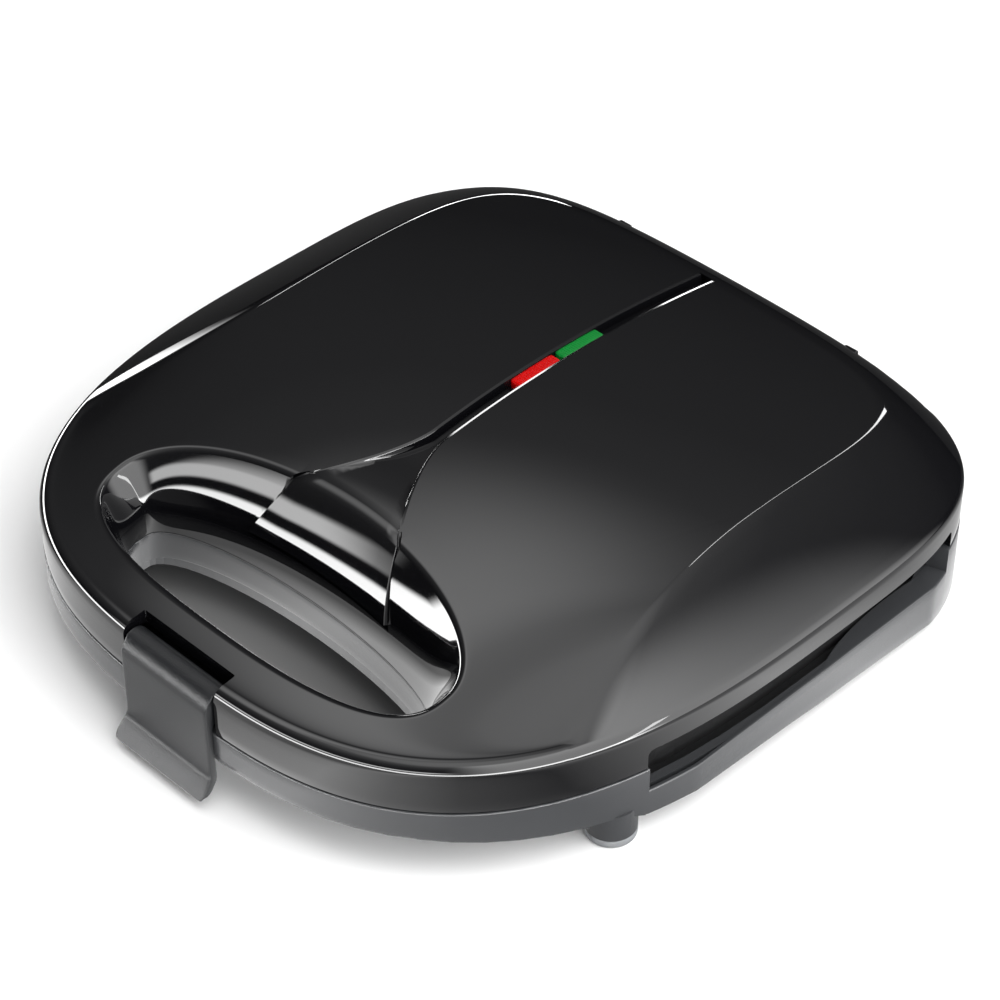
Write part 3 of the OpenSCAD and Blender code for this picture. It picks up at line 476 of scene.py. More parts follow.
@dataclass
class Body:
    """The sizes that the lid and the base share, and the shape of the lid's top."""

    # Joint line over the table, and the lid's gap over it
    part_z: float = 25.5
    half_gap: float = 0.3
    # Rounded rim on the side wall, and the panel over it
    rim_h: float = 16.5
    rim_r: float = 4.0
    panel_h: float = 20.8
    peak_back: float = 1.0
    rear_fall: float = 6.2
    panel_crown: float = 4.0
    shoulder_w: float = 27.0
    shoulder_bulge: float = 0.25
    rear_bulge: float = 0.65
    panel_back: float = 19.5
    panel_n: float = 5.5
    panel_end: float = math.radians(33)
    edge_sweep: float = 1.6
    fall_power: float = 1.35
    # Plans of the body and of the finger opening at the lip and at the joint line
    plan: Outline = field(default_factory=lambda: Outline(
        half=117, mid_y=29.1, front=145, rear=95, front_n=2.85, rear_n=3.8))
    opening: Outline = field(default_factory=lambda: Outline(
        half=66, mid_y=-74.9, front=23, rear=26.5, front_n=2.6, rear_n=2.0))
    opening_low: Outline = field(default_factory=lambda: Outline(
        half=58.5, mid_y=-74.9, front=23, rear=14.5, front_n=2.6, rear_n=2.0))
    lip_r: float = 3.2
    wall_bow: float = 1.9
    # Side recesses
    recess_y: tuple[float, float] = (-42.4, 86.6)
    lid_lift: float = 7.0
    base_drop: float = 8.5
    side_step: float = 2.5
    # Squareness of the shell inside the base wall at the rear
    shell_rear_n: float = 3.2
    # Hinge line, and the radii about it that the lid's rear edge needs
    hinge_in: float = 11.0
    hinge_up: float = 7.0
    sweep_r: float = 13.4
    corner_sweep_r: float = 8.9
    corner_wide_r: float = 10.9
    corner_run: float = 6.0
    sweep_half: float = 72.0
    # Hollow of the lid's rear shoulder: its middle and half width in degrees about the hinge line
    hollow_at: float = 64.0
    hollow_spread: float = 15.0
    hollow_depth: float = 1.55
    hollow_run: float = 8.0

    def __post_init__(self) -> None:
        """Works out the places that follow from the sizes."""
        self.shell_plan = replace(self.plan, rear_n=self.shell_rear_n)
        self.hinge_y = self.plan.mid_y + self.plan.rear - self.hinge_in
        self.hinge_z = self.part_z + self.hinge_up
        self.panel_half = self.plan.half - self.rim_r - self.shoulder_w
        self.peak_y = self.plan.mid_y + self.peak_back
        self.rear_y = self.plan.mid_y + self.plan.rear
        self.front_y = self.plan.mid_y - self.plan.front
        self.panel_rear_y = self.rear_y - self.panel_back
        self.wall_top_z = self.part_z + self.rim_h - self.rim_r
        panel_rear = self.plan.rear - self.panel_back
        self.crease = Outline(half=self.panel_half, mid_y=self.plan.mid_y, front=0, rear=panel_rear,
                              front_n=self.panel_n, rear_n=self.panel_n)

    def under_hinge(self, y: float, reach: float) -> float:
        """Height at y of the underside of a round bar about the hinge line."""
        return self.hinge_z - math.sqrt(max(0.0, reach ** 2 - (y - self.hinge_y) ** 2))

    def sweep_z(self, point: Vector) -> float:
        """Height over the point's place at which the lid's rear edge sweeps past when the lid opens."""
        reach = self.sweep_r
        past = abs(point.x) - self.sweep_half
        if past >= 0:
            reach = mix(self.corner_wide_r, self.corner_sweep_r, min(1.0, past / self.corner_run))
        return self.under_hinge(point.y, reach)

    def clear_of_base(self, point: Vector, edge: float) -> None:
        """Keeps a point of the lid's rear off the base through the lid's whole swing.

        Args:
            point: the point, which is moved.
            edge: how far before the corner the lower edge starts to rise.
        """
        off = Vector((0, point.y - self.hinge_y, point.z - self.hinge_z))
        if off.y <= 0:
            return
        if off.z < 0:
            if abs(point.x) >= self.sweep_half - edge:
                point.z = max(point.z, self.under_hinge(point.y, self.corner_sweep_r))
            return
        share = (math.degrees(math.atan2(off.z, off.y)) - self.hollow_at) / self.hollow_spread
        fade = clamped((self.sweep_half + self.hollow_run - abs(point.x)) / self.hollow_run)
        if abs(share) < 1:
            point -= off.normalized() * self.hollow_depth * fade * (1 - share * share) ** 2

    def front_edge_y(self, x: float) -> float:
        """Front edge of the panel at x, on the inside of the rounded rim."""
        n = self.plan.front_n
        u = min(1.0, abs(x) / (self.plan.half - self.rim_r))
        return self.plan.mid_y - (self.plan.front - self.rim_r) * (1 - u ** n) ** (1 / n)

    def panel_z(self, x: float, y: float) -> float:
        """Height of the lid's panel over the table."""
        low = self.part_z + self.rim_h
        rise = self.panel_h - self.panel_crown * (x / self.panel_half) ** 2
        if y < self.peak_y:
            t = min(1.0, (self.peak_y - y) / (self.peak_y - self.front_edge_y(x)))
            return low + rise * (1 - t * t) ** self.fall_power
        return low + rise - self.rear_fall * ((y - self.peak_y) / (self.panel_rear_y - self.peak_y)) ** 2

    def opening_wall(self, start: Vector, end: Vector, low: Vector, radius: float, s: float) -> Vector:
        """Point on the opening's wall, which turns over a lip and grows steeper towards the joint line.

        Args:
            start: level place where the lip begins on the panel.
            end: level place where a full quarter turn would end.
            low: level place of the wall's lower edge.
            radius: the lip's radius.
            s: place along, 0 to 1 over the lip and 1 to 2 down the wall.

        Returns:
            The point, in millimetres.
        """
        run = max(0.01, (low - end).length)
        fall = self.panel_z(end.x, end.y) - radius - self.part_z - self.half_gap
        turn = math.atan2(fall, self.wall_bow * run)
        angle = turn * min(1.0, s)
        point = start.lerp(end, math.sin(angle))
        point.z = self.panel_z(point.x, point.y) - radius * (1 - math.cos(angle))
        if s > 1:
            down = s - 1
            flat = Vector((point.x, point.y, 0)).lerp(low, 1 - (1 - down) ** self.wall_bow)
            point = Vector((flat.x, flat.y, mix(point.z, self.part_z + self.half_gap, down)))
        return point

    def swell(self, angle: float) -> float:
        """Bulge of the shoulder at an outline angle in radians."""
        return mix(self.shoulder_bulge, self.rear_bulge, max(0.0, math.sin(angle)) ** 2)

    def crease_at(self, angle: float) -> Vector:
        """Point of the panel's edge at an outline angle in radians."""
        turn = angle % (2 * math.pi)
        if turn <= math.pi:
            flat = self.crease.at(turn)
        else:
            flat = self.plan.at(turn, self.rim_r)
            off = min(turn - math.pi, 2 * math.pi - turn)
            if off < self.panel_end:
                drawn_in = self.shoulder_w * (1 - (off / self.panel_end) ** self.edge_sweep)
                flat.x -= math.copysign(drawn_in, flat.x)
        return Vector((flat.x, flat.y, self.panel_z(flat.x, flat.y)))


# ---- Lid ----


@dataclass
class Lid:
    """The glossy lid: side wall, rounded rim, shoulders, panel, and the finger opening's upper wall."""

    body: Body
    columns: int = 480
    wall: float = 2.5
    crease_r: float = 2.6
    edge_r: float = 0.5
    recess_r: float = 2.0
    slot_r: float = 0.8
    notch_r: float = 0.5
    notch_half: float = 18.9
    notch_back_y: float = -107.4
    arm_x: float = 38.0
    slot_w: float = 13.0
    slot_top_z: float = 40.9
    slot_front_y: float = 107.1
    side_crowd: float = 0.69
    least_shoulder: float = 5.0
    eye_r: float = 5.5
    lug_w: float = 5.0
    lug_edge: float = 0.4
    lug_root: float = 6.0
    under_crease: float = 4.0
    inner_rim: float = 2.9

    def opening_angle(self, share: float) -> float:
        """Angle on the opening that faces a share of the way from the lid's front to its rear."""
        return -QUARTER + math.pi * share * (1 + self.side_crowd * (1 - share))

    def rim_turn(self, reach: float, rise: float, swell: float) -> float:
        """Angle at which the rim's rounding runs into the shoulder.

        Args:
            reach: distance from the wall in to the panel's edge.
            rise: height of the panel's edge over the wall's top.
            swell: the shoulder's bulge.

        Returns:
            The angle in radians, a quarter turn where the panel is level with the rim.
        """
        r, turn = self.body.rim_r, QUARTER
        for _ in range(24):
            run = max(0.4, reach - r * (1 - math.cos(turn)))
            slope = max(0.0, rise - r * math.sin(turn)) / run * (1 + swell)
            turn = mix(turn, math.atan2(1, slope), 0.5)
        return turn

    def top_points(self, start: Vector, crease: Vector, lip: Vector, shoulder: float,
                   swell: float) -> list[Vector]:
        """Points over the shoulder, round the crease and across the panel, closer together at the crease.

        Args:
            start: where the rim's rounding ends.
            crease: the panel's edge.
            lip: level place where the opening's lip begins.
            shoulder: level distance from the start to the crease.
            swell: the shoulder's bulge.

        Returns:
            The points after the start, in millimetres.
        """
        b = self.body
        edge = Vector((crease.x, crease.y, 0))
        shoulder = max(0.0, shoulder)
        panel = (lip - edge).length
        soft = min(self.crease_r, 0.45 * shoulder)

        def along(s: float) -> Vector:
            """Point at a level distance from the start, the crease kept sharp."""
            if s < shoulder:
                f = s / shoulder
                flat = start.lerp(crease, f)
                flat.z = start.z + (crease.z - start.z) * f * (1 + swell * (1 - f))
                return flat
            flat = edge.lerp(lip, min(1.0, (s - shoulder) / panel))
            flat.z = b.panel_z(flat.x, flat.y)
            return flat

        def rounded(s: float) -> Vector:
            """Point at a level distance from the start, the crease rounded."""
            if soft < 0.05 or abs(s - shoulder) >= soft:
                return along(s)
            t = (s - shoulder + soft) / (2 * soft)
            near, far, tip = along(shoulder - soft), along(shoulder + soft), along(shoulder)
            return near * (1 - t) ** 2 + tip * 2 * t * (1 - t) + far * t * t

        band = self.crease_r + 0.4
        turn_at = (shoulder ** 4 + self.least_shoulder ** 4) ** 0.25
        stops = graded(14, 0, turn_at - band)[1:] + graded(10, turn_at - band, turn_at + band)[1:]
        stops += graded(34, turn_at + band, shoulder + panel)[1:]
        return [rounded(s) for s in stops]

    def column(self, angle: float, share: float) -> list[Vector]:
        """Points of the lid's skin along one line, from its lower edge over the top to its lower edge inside.

        Args:
            angle: place on the outline in radians.
            share: place from the front (0) to the rear (1), on either side.

        Returns:
            The line's points, in millimetres.
        """
        b = self.body
        low_z = b.part_z + b.half_gap
        out = b.plan.at(angle)
        crease = b.crease_at(angle)
        inward = Vector((crease.x - out.x, crease.y - out.y, 0))
        reach = inward.length
        inward.normalize()
        lip_angle = self.opening_angle(share)
        if math.cos(angle) <= 0:
            lip_angle = math.pi - lip_angle
        lip_start = b.opening.at(lip_angle, -b.lip_r)
        lip_end = b.opening.at(lip_angle)

        points = []
        for step in graded(3, 0, QUARTER):
            lift = self.edge_r * (1 - math.cos(step))
            points.append(out + inward * self.edge_r * (1 - math.sin(step)) + Vector((0, 0, low_z + lift)))
        for z in graded(4, low_z + self.edge_r, b.wall_top_z)[1:]:
            points.append(out + Vector((0, 0, z)))
        swell = b.swell(angle)
        turn = self.rim_turn(reach, crease.z - b.wall_top_z, swell)
        for step in graded(9, 0, turn)[1:]:
            inset = b.rim_r * (1 - math.cos(step))
            points.append(out + inward * inset + Vector((0, 0, b.wall_top_z + b.rim_r * math.sin(step))))

        shoulder = reach - b.rim_r * (1 - math.cos(turn))
        points += self.top_points(points[-1], crease, lip_start, shoulder, swell)
        low = b.opening_low.at(lip_angle)
        points += [b.opening_wall(lip_start, lip_end, low, b.lip_r, t) for t in graded(24, 0, 2)[1:]]
        back = b.opening_low.at(lip_angle, -self.wall)
        points.append(Vector((back.x, back.y, low_z)))
        back = b.opening.at(lip_angle, -self.wall)
        points.append(Vector((back.x, back.y, b.panel_z(back.x, back.y) - 2 * b.lip_r)))
        points.append(crease + inward * self.wall - Vector((0, 0, self.under_crease)))
        points.append(out + inward * self.inner_rim + Vector((0, 0, b.wall_top_z - self.wall)))
        points.append(out + inward * self.wall + Vector((0, 0, low_z)))
        for point in points:
            b.clear_of_base(point, self.edge_r)
        return points

    def skin(self) -> bmesh.types.BMesh:
        """Closed skin of the lid before its openings are cut."""
        half = self.columns // 2
        lines = []
        for i, angle in enumerate(self.body.plan.even_angles(self.columns)):
            share = 1 - i / half if i <= half else (i - half) / half
            lines.append(self.column(angle, share))
        return skinned(lines)

    def cutters(self) -> list[bmesh.types.BMesh]:
        """Shapes of the side recesses, the clip's notch and the hinge arms' slots."""
        b = self.body
        y0, y1 = b.recess_y
        beyond, half_slot = 20, self.slot_w / 2
        shapes = []
        for s in (-1, 1):
            x = sorted((s * (b.plan.half - beyond), s * (b.plan.half + beyond)))
            low, high = Vector((x[0], y0, b.part_z - beyond)), Vector((x[1], y1, b.part_z + b.lid_lift))
            shapes.append(rounded_box(low, high, self.recess_r, 5))
            low = Vector((s * self.arm_x - half_slot, self.slot_front_y, b.part_z - 10))
            high = Vector((s * self.arm_x + half_slot, b.rear_y + 9, self.slot_top_z))
            shapes.append(rounded_box(low, high, self.slot_r, 2))
        low = Vector((-self.notch_half, b.front_y - 12, b.part_z - 10))
        high = Vector((self.notch_half, self.notch_back_y, b.part_z + 50))
        shapes.append(rounded_box(low, high, self.notch_r, 2))
        return shapes

    def hinge_lugs(self) -> bmesh.types.BMesh:
        """Lugs beside the hinge arms' slots, each an eye with a web up into the lid."""
        bm = bmesh.new()
        b, half_w, r = self.body, self.lug_w / 2, self.eye_r
        turn = Matrix.Rotation(QUARTER, 4, "Y")
        for s, side in ((-1, -1), (-1, 1), (1, -1), (1, 1)):
            x = s * self.arm_x + side * (self.slot_w / 2 + half_w)
            place = Matrix.Translation((x, b.hinge_y, b.hinge_z)) @ turn
            eye = bmesh.ops.create_cone(bm, cap_ends=True, segments=40, radius1=r, radius2=r,
                                        depth=self.lug_w, matrix=place)["verts"]
            rims = [e for e in bm.edges
                    if all(v in eye for v in e.verts) and abs(e.verts[0].co.x - e.verts[1].co.x) < 0.1]
            bmesh.ops.bevel(bm, geom=rims, offset=self.lug_edge, segments=2, profile=0.5, affect="EDGES",
                            material=-1)
            top = Vector((x + half_w, b.hinge_y + r - self.lug_edge, self.slot_top_z + self.lug_root))
            web = rounded_box(Vector((x - half_w, b.hinge_y - r, b.hinge_z)), top, self.lug_edge, 2)
            extra = bpy.data.meshes.new("web")
            web.to_mesh(extra)
            web.free()
            bm.from_mesh(extra)
            bpy.data.meshes.remove(extra)
        return bm

    def build(self, strip: "Strip") -> bpy.types.Object:
        """Makes the lid with its openings and the groove for the strip."""
        lid = make_object("lid_skin", self.skin())
        cut_away(lid, self.cutters() + [strip.groove()])
        lugs = make_object("lid_lugs_mesh", self.hinge_lugs())
        bm = bmesh.new()
        bm.from_mesh(lid.data)
        bm.from_mesh(lugs.data)
        bm.to_mesh(lid.data)
        bm.free()
        bpy.data.objects.remove(lugs)
        return lid


@dataclass
class Strip:
    """The trim down the middle of the lid: a channel that flares and folds over the opening's lip."""

    body: Body
    width: float = 6.0
    flare_half: float = 21.2
    flare_len: float = 36.0
    depth: float = 3.0
    flare_depth: float = 0.9
    thick: float = 0.9
    bevel: float = 0.8
    bevel_tilt: float = math.radians(15)
    rail: float = 1.25
    fold_r: float = 5.0
    fold_drop: float = 12.0
    fold_reach: float = 0.6
    fold_proud: float = 1.4
    fold_spread: float = 0.62
    rear_gap: float = 1.2
    flare_power: float = 1.6
    edge_sink: float = 0.04
    fold_start: float = 0.84
    fold_run: float = 1.2
    floor_power: float = 0.7
    back_t: float = 0.8
    groove_grow: float = 1.003
    groove_past: float = 0.004
    groove_clear: float = 12.0

    def __post_init__(self) -> None:
        """Finds the opening's rear edge on the middle line."""
        self.lip_mid_y = self.body.opening.mid_y + self.body.opening.rear

    def flare_at(self, y: float) -> float:
        """Share of the way from the flare's start, 0, to the lip, 1."""
        return clamped((self.lip_mid_y + self.flare_len - y) / self.flare_len)

    def half_at(self, y: float) -> float:
        """Half width of the strip on the panel at y."""
        return mix(self.width / 2, self.flare_half, self.flare_at(y) ** self.flare_power)

    def lip_y(self, x: float, grow: float) -> float:
        """Rear edge of the opening at x, its outline grown by an amount."""
        opening = self.body.opening
        return opening.mid_y + (opening.rear + grow) * math.sqrt(1 - (x / (opening.half + grow)) ** 2)

    def path(self, c: float, s: float, sink: float) -> Vector:
        """Point of a surface that lies a sink below the lid's own, over the panel, the lip and the wall.

        Args:
            c: place across, -1 to 1.
            s: place along: 0 to 1 on the panel, 1 to 2 over the lip, 2 to 3 down the wall.
            sink: depth below the lid's surface.

        Returns:
            The point, in millimetres.
        """
        b, r = self.body, self.fold_r
        rear = b.panel_rear_y - self.rear_gap
        down = max(0.0, s - 2)
        half = self.half_at(mix(rear, self.lip_y(self.flare_half, r), min(1.0, s)))
        half += self.fold_spread * (r * self.fold_run * clamped(s - 1) + self.fold_drop * down)
        x = c * half
        top_y = self.lip_y(x, r)
        if s <= 1:
            y = mix(rear, top_y, s)
            return Vector((x, y, b.panel_z(x, y) - sink))
        low = b.opening_low
        low_y = low.mid_y + low.rear * math.sqrt(max(0.0, 1 - (x / low.half) ** 2))
        ends = [Vector((x, y, 0)) for y in (top_y, self.lip_y(x, 0), low_y)]
        place = min(2.0, s) - 1 + self.fold_reach * down
        here, after = (b.opening_wall(*ends, r, place + e) for e in (0, 0.01))
        slope = (after - here).normalized()
        return here + Vector((0, -slope.z, slope.y)) * sink

    def rows(self) -> list[float]:
        """Places along the strip, closer where it bends."""
        return graded(70, 0, 1) + graded(10, 1, 2)[1:] + graded(8, 2, 3)[1:]

    def off_surface(self, y: float, length: float) -> Vector:
        """Step of a length off the lid at y, up from the panel and level into the opening beyond its lip."""
        turn = clamped((self.lip_mid_y + self.fold_r - y) / self.fold_r) * QUARTER
        return Vector((0, -length * math.sin(turn), length * math.cos(turn)))

    def groove(self) -> bmesh.types.BMesh:
        """Shape that cuts the strip's groove into the lid and the opening's wall."""
        bm = bmesh.new()
        grow, floor = self.groove_grow, self.depth + self.thick
        placed_grid(bm, graded(24, -grow, grow), [-self.groove_past] + self.rows()[1:],
                    lambda c, s: self.path(c, s, floor), False)
        for vert in doubled(bm):
            vert.co += self.off_surface(vert.co.y, self.groove_clear)
        return bm

    def sink_at(self, from_edge: float, y: float, s: float) -> float:
        """Depth of the strip's surface: bevelled at its edge, a channel behind, and proud over the lip.

        Args:
            from_edge: distance in from the strip's edge.
            y: place along the lid.
            s: place along the strip, as its path takes it.

        Returns:
            The depth below the lid's surface, in millimetres.
        """
        rise = clamped((s - self.fold_start) / (1 - self.fold_start))
        floor = mix(self.depth, self.flare_depth, self.flare_at(y) ** self.floor_power)
        floor = mix(floor, -self.fold_proud * max(0.0, s - 1) / 2, eased(rise))
        edge = self.edge_sink + min(from_edge, self.bevel) * math.tan(self.bevel_tilt)
        edge = mix(edge, self.edge_sink, rise)
        if from_edge <= self.bevel:
            return edge
        return mix(edge, floor, eased(min(1.0, (from_edge - self.bevel) / (self.rail - self.bevel))))

    def build(self) -> bpy.types.Object:
        """Makes the strip."""
        bm = bmesh.new()
        rows = self.rows()
        edge_steps = [0.0, 0.2, 0.4, 0.6, 0.8, 0.86, 0.94, 1.04, 1.14, 1.25]
        steps, inner = len(edge_steps), graded(8, 0, 1)[1:-1]
        count = 2 * steps + len(inner)

        def place(i: float, j: float) -> Vector:
            """Point at a column across the strip and a row along it."""
            k, s = round(i), rows[round(j)]
            edge = self.path(1, s, 0)
            half = edge.x
            if k < steps:
                off = edge_steps[k]
                x = off - half
            elif k < steps + len(inner):
                off = self.rail + 1
                x = mix(self.rail - half, half - self.rail, inner[k - steps])
            else:
                off = edge_steps[count - 1 - k]
                x = half - off
            return self.path(x / half, s, self.sink_at(off, edge.y, s))

        placed_grid(bm, list(range(count)), list(range(len(rows))), place, False)
        bmesh.ops.recalc_face_normals(bm, faces=bm.faces)
        for vert in doubled(bm):
            vert.co -= self.off_surface(vert.co.y, self.back_t)
        bmesh.ops.recalc_face_normals(bm, faces=bm.faces)
        return make_object("strip_trim", bm, 50)


@dataclass
class Lens:
    """A ribbed indicator lens with round ends that lies in the strip's channel."""

    body: Body
    name: str
    mid_y: float
    length: float = 17.5
    width: float = 4.5
    sunk: float = 0.55
    crown: float = 0.3
    height: float = 2.4
    rib_pitch: float = 0.9
    rib_depth: float = 0.2
    rib_end_power: float = 6.0
    end_power: float = 4.0
    flat_share: float = 0.72

    def build(self) -> bpy.types.Object:
        """Makes the lens."""
        bm = bmesh.new()
        half_l, half_w = self.length / 2, self.width / 2

        def place(u: float, v: float) -> Vector:
            """Point at a share of the half width and of the half length."""
            y = v * half_l
            over = max(0.0, abs(y) - (half_l - half_w)) / half_w
            x = u * half_w * max(0.0, 1 - over ** self.end_power) ** (1 / self.end_power)
            rim = max(abs(u), min(1.0, over))
            fall = self.crown * (max(0.0, rim - self.flat_share) / (1 - self.flat_share)) ** 2
            wave = 0.5 + 0.5 * math.cos(2 * math.pi * y / self.rib_pitch)
            ribs = self.rib_depth * wave * (1 - rim ** self.rib_end_power)
            at_y = self.mid_y + y
            return Vector((x, at_y, self.body.panel_z(x, at_y) - self.sunk - fall + ribs))

        placed_grid(bm, graded(12, -1, 1), graded(170, -1, 1), place, False)
        bmesh.ops.remove_doubles(bm, verts=bm.verts, dist=1e-4)
        bmesh.ops.translate(bm, vec=(0, 0, -self.height), verts=doubled(bm))
        bmesh.ops.recalc_face_normals(bm, faces=bm.faces)
        return make_object(self.name, bm, 60)


# ---- Clip ----


@dataclass
class Clip:
    """The satin clip: a roll round its pivot, a plate, and a lip that flares out for the finger."""

    body: Body
    width: float = 35.6
    plate_t: float = 1.6
    face_gap: float = 0.5
    roll_r: float = 6.2
    rear_r: float = 3.0
    roll_z: float = 33.4
    under_z: float = 28.6
    crease_z: float = 9.8
    lip_reach: float = 4.6
    tip_z: float = 3.4
    flare: float = 1.5
    corner_r: float = 3.0
    edge_r: float = 0.4
    edge_from: float = 0.95

    def side(self) -> list[tuple[float, float]]:
        """Side view, as y and z, from the roll's top down the face to the lip's tip and back up inside."""
        back = self.body.front_y - self.face_gap
        face = back - self.plate_t
        mid_y, low = face + self.roll_r, self.crease_z
        tip_y = face - self.lip_reach

        def arc(y: float, z: float, r: float, start: float, end: float) -> list[tuple[float, float]]:
            """Points of an arc between two angles in degrees."""
            turns = [math.radians(a) for a in graded(12, start, end)]
            return [(y + r * math.cos(a), z + r * math.sin(a)) for a in turns]

        def slope(start: tuple[float, float], end: tuple[float, float], steps: int, bow: float = 1.0) -> list:
            """Points after the start on the way to the end, bowed above a power of 1."""
            shares = graded(steps, 0, 1)[1:]
            return [(mix(start[0], end[0], t), mix(start[1], end[1], t ** bow)) for t in shares]

        tip = self.tip_z
        points = arc(mid_y, self.roll_z, self.roll_r, 90, 180)
        points += [(face, z) for z in graded(10, self.roll_z, low + 2.5)[1:]]
        points += [(face - 0.15, low + 1.2), (face - 0.5, low + 0.1)]
        points += slope(points[-1], (tip_y, tip + 0.8), 8, 1.1)
        points += [(tip_y + 0.15, tip + 0.2), (tip_y + 0.7, tip), (tip_y + 1.3, tip + 0.4)]
        points += slope(points[-1], (back - 0.4, low - 1.2), 6)
        points += [(back - 0.1, low - 0.3)]
        points += [(back, z) for z in graded(8, low + 0.4, self.under_z - 2)]
        points += arc(back + 2, self.under_z - 2, 2, 180, 90)[1:]
        points += arc(mid_y + 0.4, self.under_z + 2.6, 2.6, -90, 0)
        return points + arc(mid_y, self.roll_z + self.roll_r - self.rear_r, self.rear_r, 0, 90)[:-1]

    def build(self) -> bpy.types.Object:
        """Makes the clip."""
        side = self.side()
        bm = bmesh.new()
        across = [-1, -0.992, -0.975, -0.95, -0.9] + graded(10, -0.8, 0.8) + [0.9, 0.95, 0.975, 0.992, 1]
        mid_y = sum(y for y, _ in side) / len(side)
        start_z = self.crease_z + 3

        def place(u: float, j: float) -> Vector:
            """Point at a share of the half width and a step round the side view."""
            y, z = side[round(j) % len(side)]
            wide = self.width / 2 + self.flare * clamped((start_z - z) / (start_z - self.tip_z))
            drop = min(self.corner_r, max(0.0, self.tip_z + self.corner_r - z))
            wide -= self.corner_r - math.sqrt(self.corner_r ** 2 - drop ** 2)
            edge = clamped((abs(u) - self.edge_from) / (1 - self.edge_from))
            y += math.copysign(self.edge_r * (1 - math.sqrt(max(0.0, 1 - edge * edge))), mid_y - y)
            return Vector((u * wide, y, z))

        placed_grid(bm, across, list(range(len(side) + 1)), place, False)
        bmesh.ops.remove_doubles(bm, verts=bm.verts, dist=1e-4)
        bmesh.ops.holes_fill(bm, edges=[e for e in bm.edges if e.is_boundary], sides=0)
        bmesh.ops.recalc_face_normals(bm, faces=bm.faces)
        return make_object("clip_cover", bm, 40)


# ---- Base ----


@dataclass
class Base:
    """The satin base: its side wall with the recess's lip, and the finger opening's lower wall."""

    body: Body
    columns: int = 480
    ring_h: float = 10.0
    corner_drop: float = 4.3
    skirt_front_z: float = 8.0
    skirt_rear_z: float = 2.0
    bar_d: float = 18.0
    foot_d: float = 15.0
    cover_t: float = 1.2
    proud: float = 0.12
    edge_r: float = 0.6
    sweep_gap: float = 0.45
    joint_gap: float = 0.05

    def underside(self, y: float) -> float:
        """Height of the base wall's lower edge at y."""
        b = self.body
        ring_z = b.part_z - self.ring_h
        y0, y1 = b.recess_y
        knots = [(b.front_y + self.bar_d, ring_z), (y0 - self.foot_d / 2, ring_z - self.corner_drop),
                 (y0, self.skirt_front_z), (y1, self.skirt_rear_z)]
        if y <= knots[0][0]:
            return ring_z
        for (ya, za), (yb, zb) in zip(knots, knots[1:]):
            if y <= yb:
                return mix(za, zb, (y - ya) / (yb - ya))
        return self.skirt_rear_z

    def wall_rows(self, out: Vector, inward: Vector, low: float, high: float, thick: float) -> list[Vector]:
        """Points up the outside of a thin wall with rounded edges and down its inside.

        Args:
            out: foot of the wall's outer face.
            inward: level unit vector through the wall.
            low: height of its lower edge.
            high: height of its upper edge.
            thick: its thickness.

        Returns:
            The points, in millimetres.
        """
        r = self.edge_r
        points = []
        for step in graded(4, 0, QUARTER):
            z = low + r * (1 - math.cos(step))
            points.append(out + inward * r * (1 - math.sin(step)) + Vector((0, 0, z)))
        for z in graded(4, low + r, high - r)[1:]:
            points.append(out + Vector((0, 0, z)))
        for step in graded(4, 0, QUARTER)[1:]:
            z = high - r * (1 - math.sin(step))
            points.append(out + inward * r * (1 - math.cos(step)) + Vector((0, 0, z)))
        points.append(out + inward * thick + Vector((0, 0, high)))
        points.append(out + inward * thick + Vector((0, 0, low)))
        return points

    def section(self, point: Vector, inward: Vector, fill: float, recessed: bool) -> list[Vector]:
        """Points round the side wall's section at one place.

        Args:
            point: place on the plan.
            inward: level unit vector into the base.
            fill: thickness added on the inside, to meet the shell behind.
            recessed: whether the wall is stepped in and lowered there.

        Returns:
            The points, in millimetres.
        """
        b = self.body
        out = point - inward * self.proud
        high = b.part_z - self.joint_gap
        if recessed:
            step = max(0.0, abs(point.x) - (b.plan.half - b.side_step))
            out.x -= math.copysign(step, point.x)
            high = b.part_z - b.base_drop + self.proud
        points = self.wall_rows(out, inward, self.underside(point.y), high, self.cover_t + fill)
        for place in points:
            if place.y > b.hinge_y - b.sweep_r:
                place.z = min(place.z, b.sweep_z(place) - self.sweep_gap)
        return points

    def ring(self) -> bpy.types.Object:
        """Side wall round the base, stepped in and lowered along the side recesses."""
        b = self.body
        angles = b.plan.even_angles(self.columns)
        stations = []
        for k, angle in enumerate(angles):
            point = b.plan.at(angle)
            before, after = (b.plan.at(angles[i % self.columns]) for i in (k - 1, k + 1))
            along = (after - before).normalized()
            inward = Vector((along.y, -along.x, 0))
            if inward.dot(Vector((0, b.plan.mid_y, 0)) - point) < 0:
                inward.negate()
            stations.append((point, inward, (point - b.shell_plan.at(angle)).length))

        def in_recess(point: Vector) -> bool:
            """Whether a place lies along the side recesses."""
            return b.recess_y[0] < point.y < b.recess_y[1]

        rows = []
        for here, beyond in zip(stations, stations[1:] + stations[-1:]):
            point, inward, _ = here
            rows.append(self.section(*here, in_recess(point)))
            if in_recess(beyond[0]) != in_recess(point):
                edge, _, fill = here if in_recess(point) else beyond
                rows.append(self.section(edge, inward, fill, False))
        return make_object("base_wall", skinned(rows))

    def sleeve(self) -> bpy.types.Object:
        """Smooth wall of the finger opening inside the base."""
        b = self.body
        low, high = b.part_z - self.ring_h - 0.1, b.part_z - 0.02
        rows = []
        for angle in graded(240, 0, 2 * math.pi):
            out = b.opening_low.at(angle, self.proud)
            outward = (b.opening_low.at(angle, -1) - b.opening_low.at(angle)).normalized()
            rows.append(self.wall_rows(out, outward, low, high, self.cover_t))
        return make_object("opening_sleeve", skinned(rows))


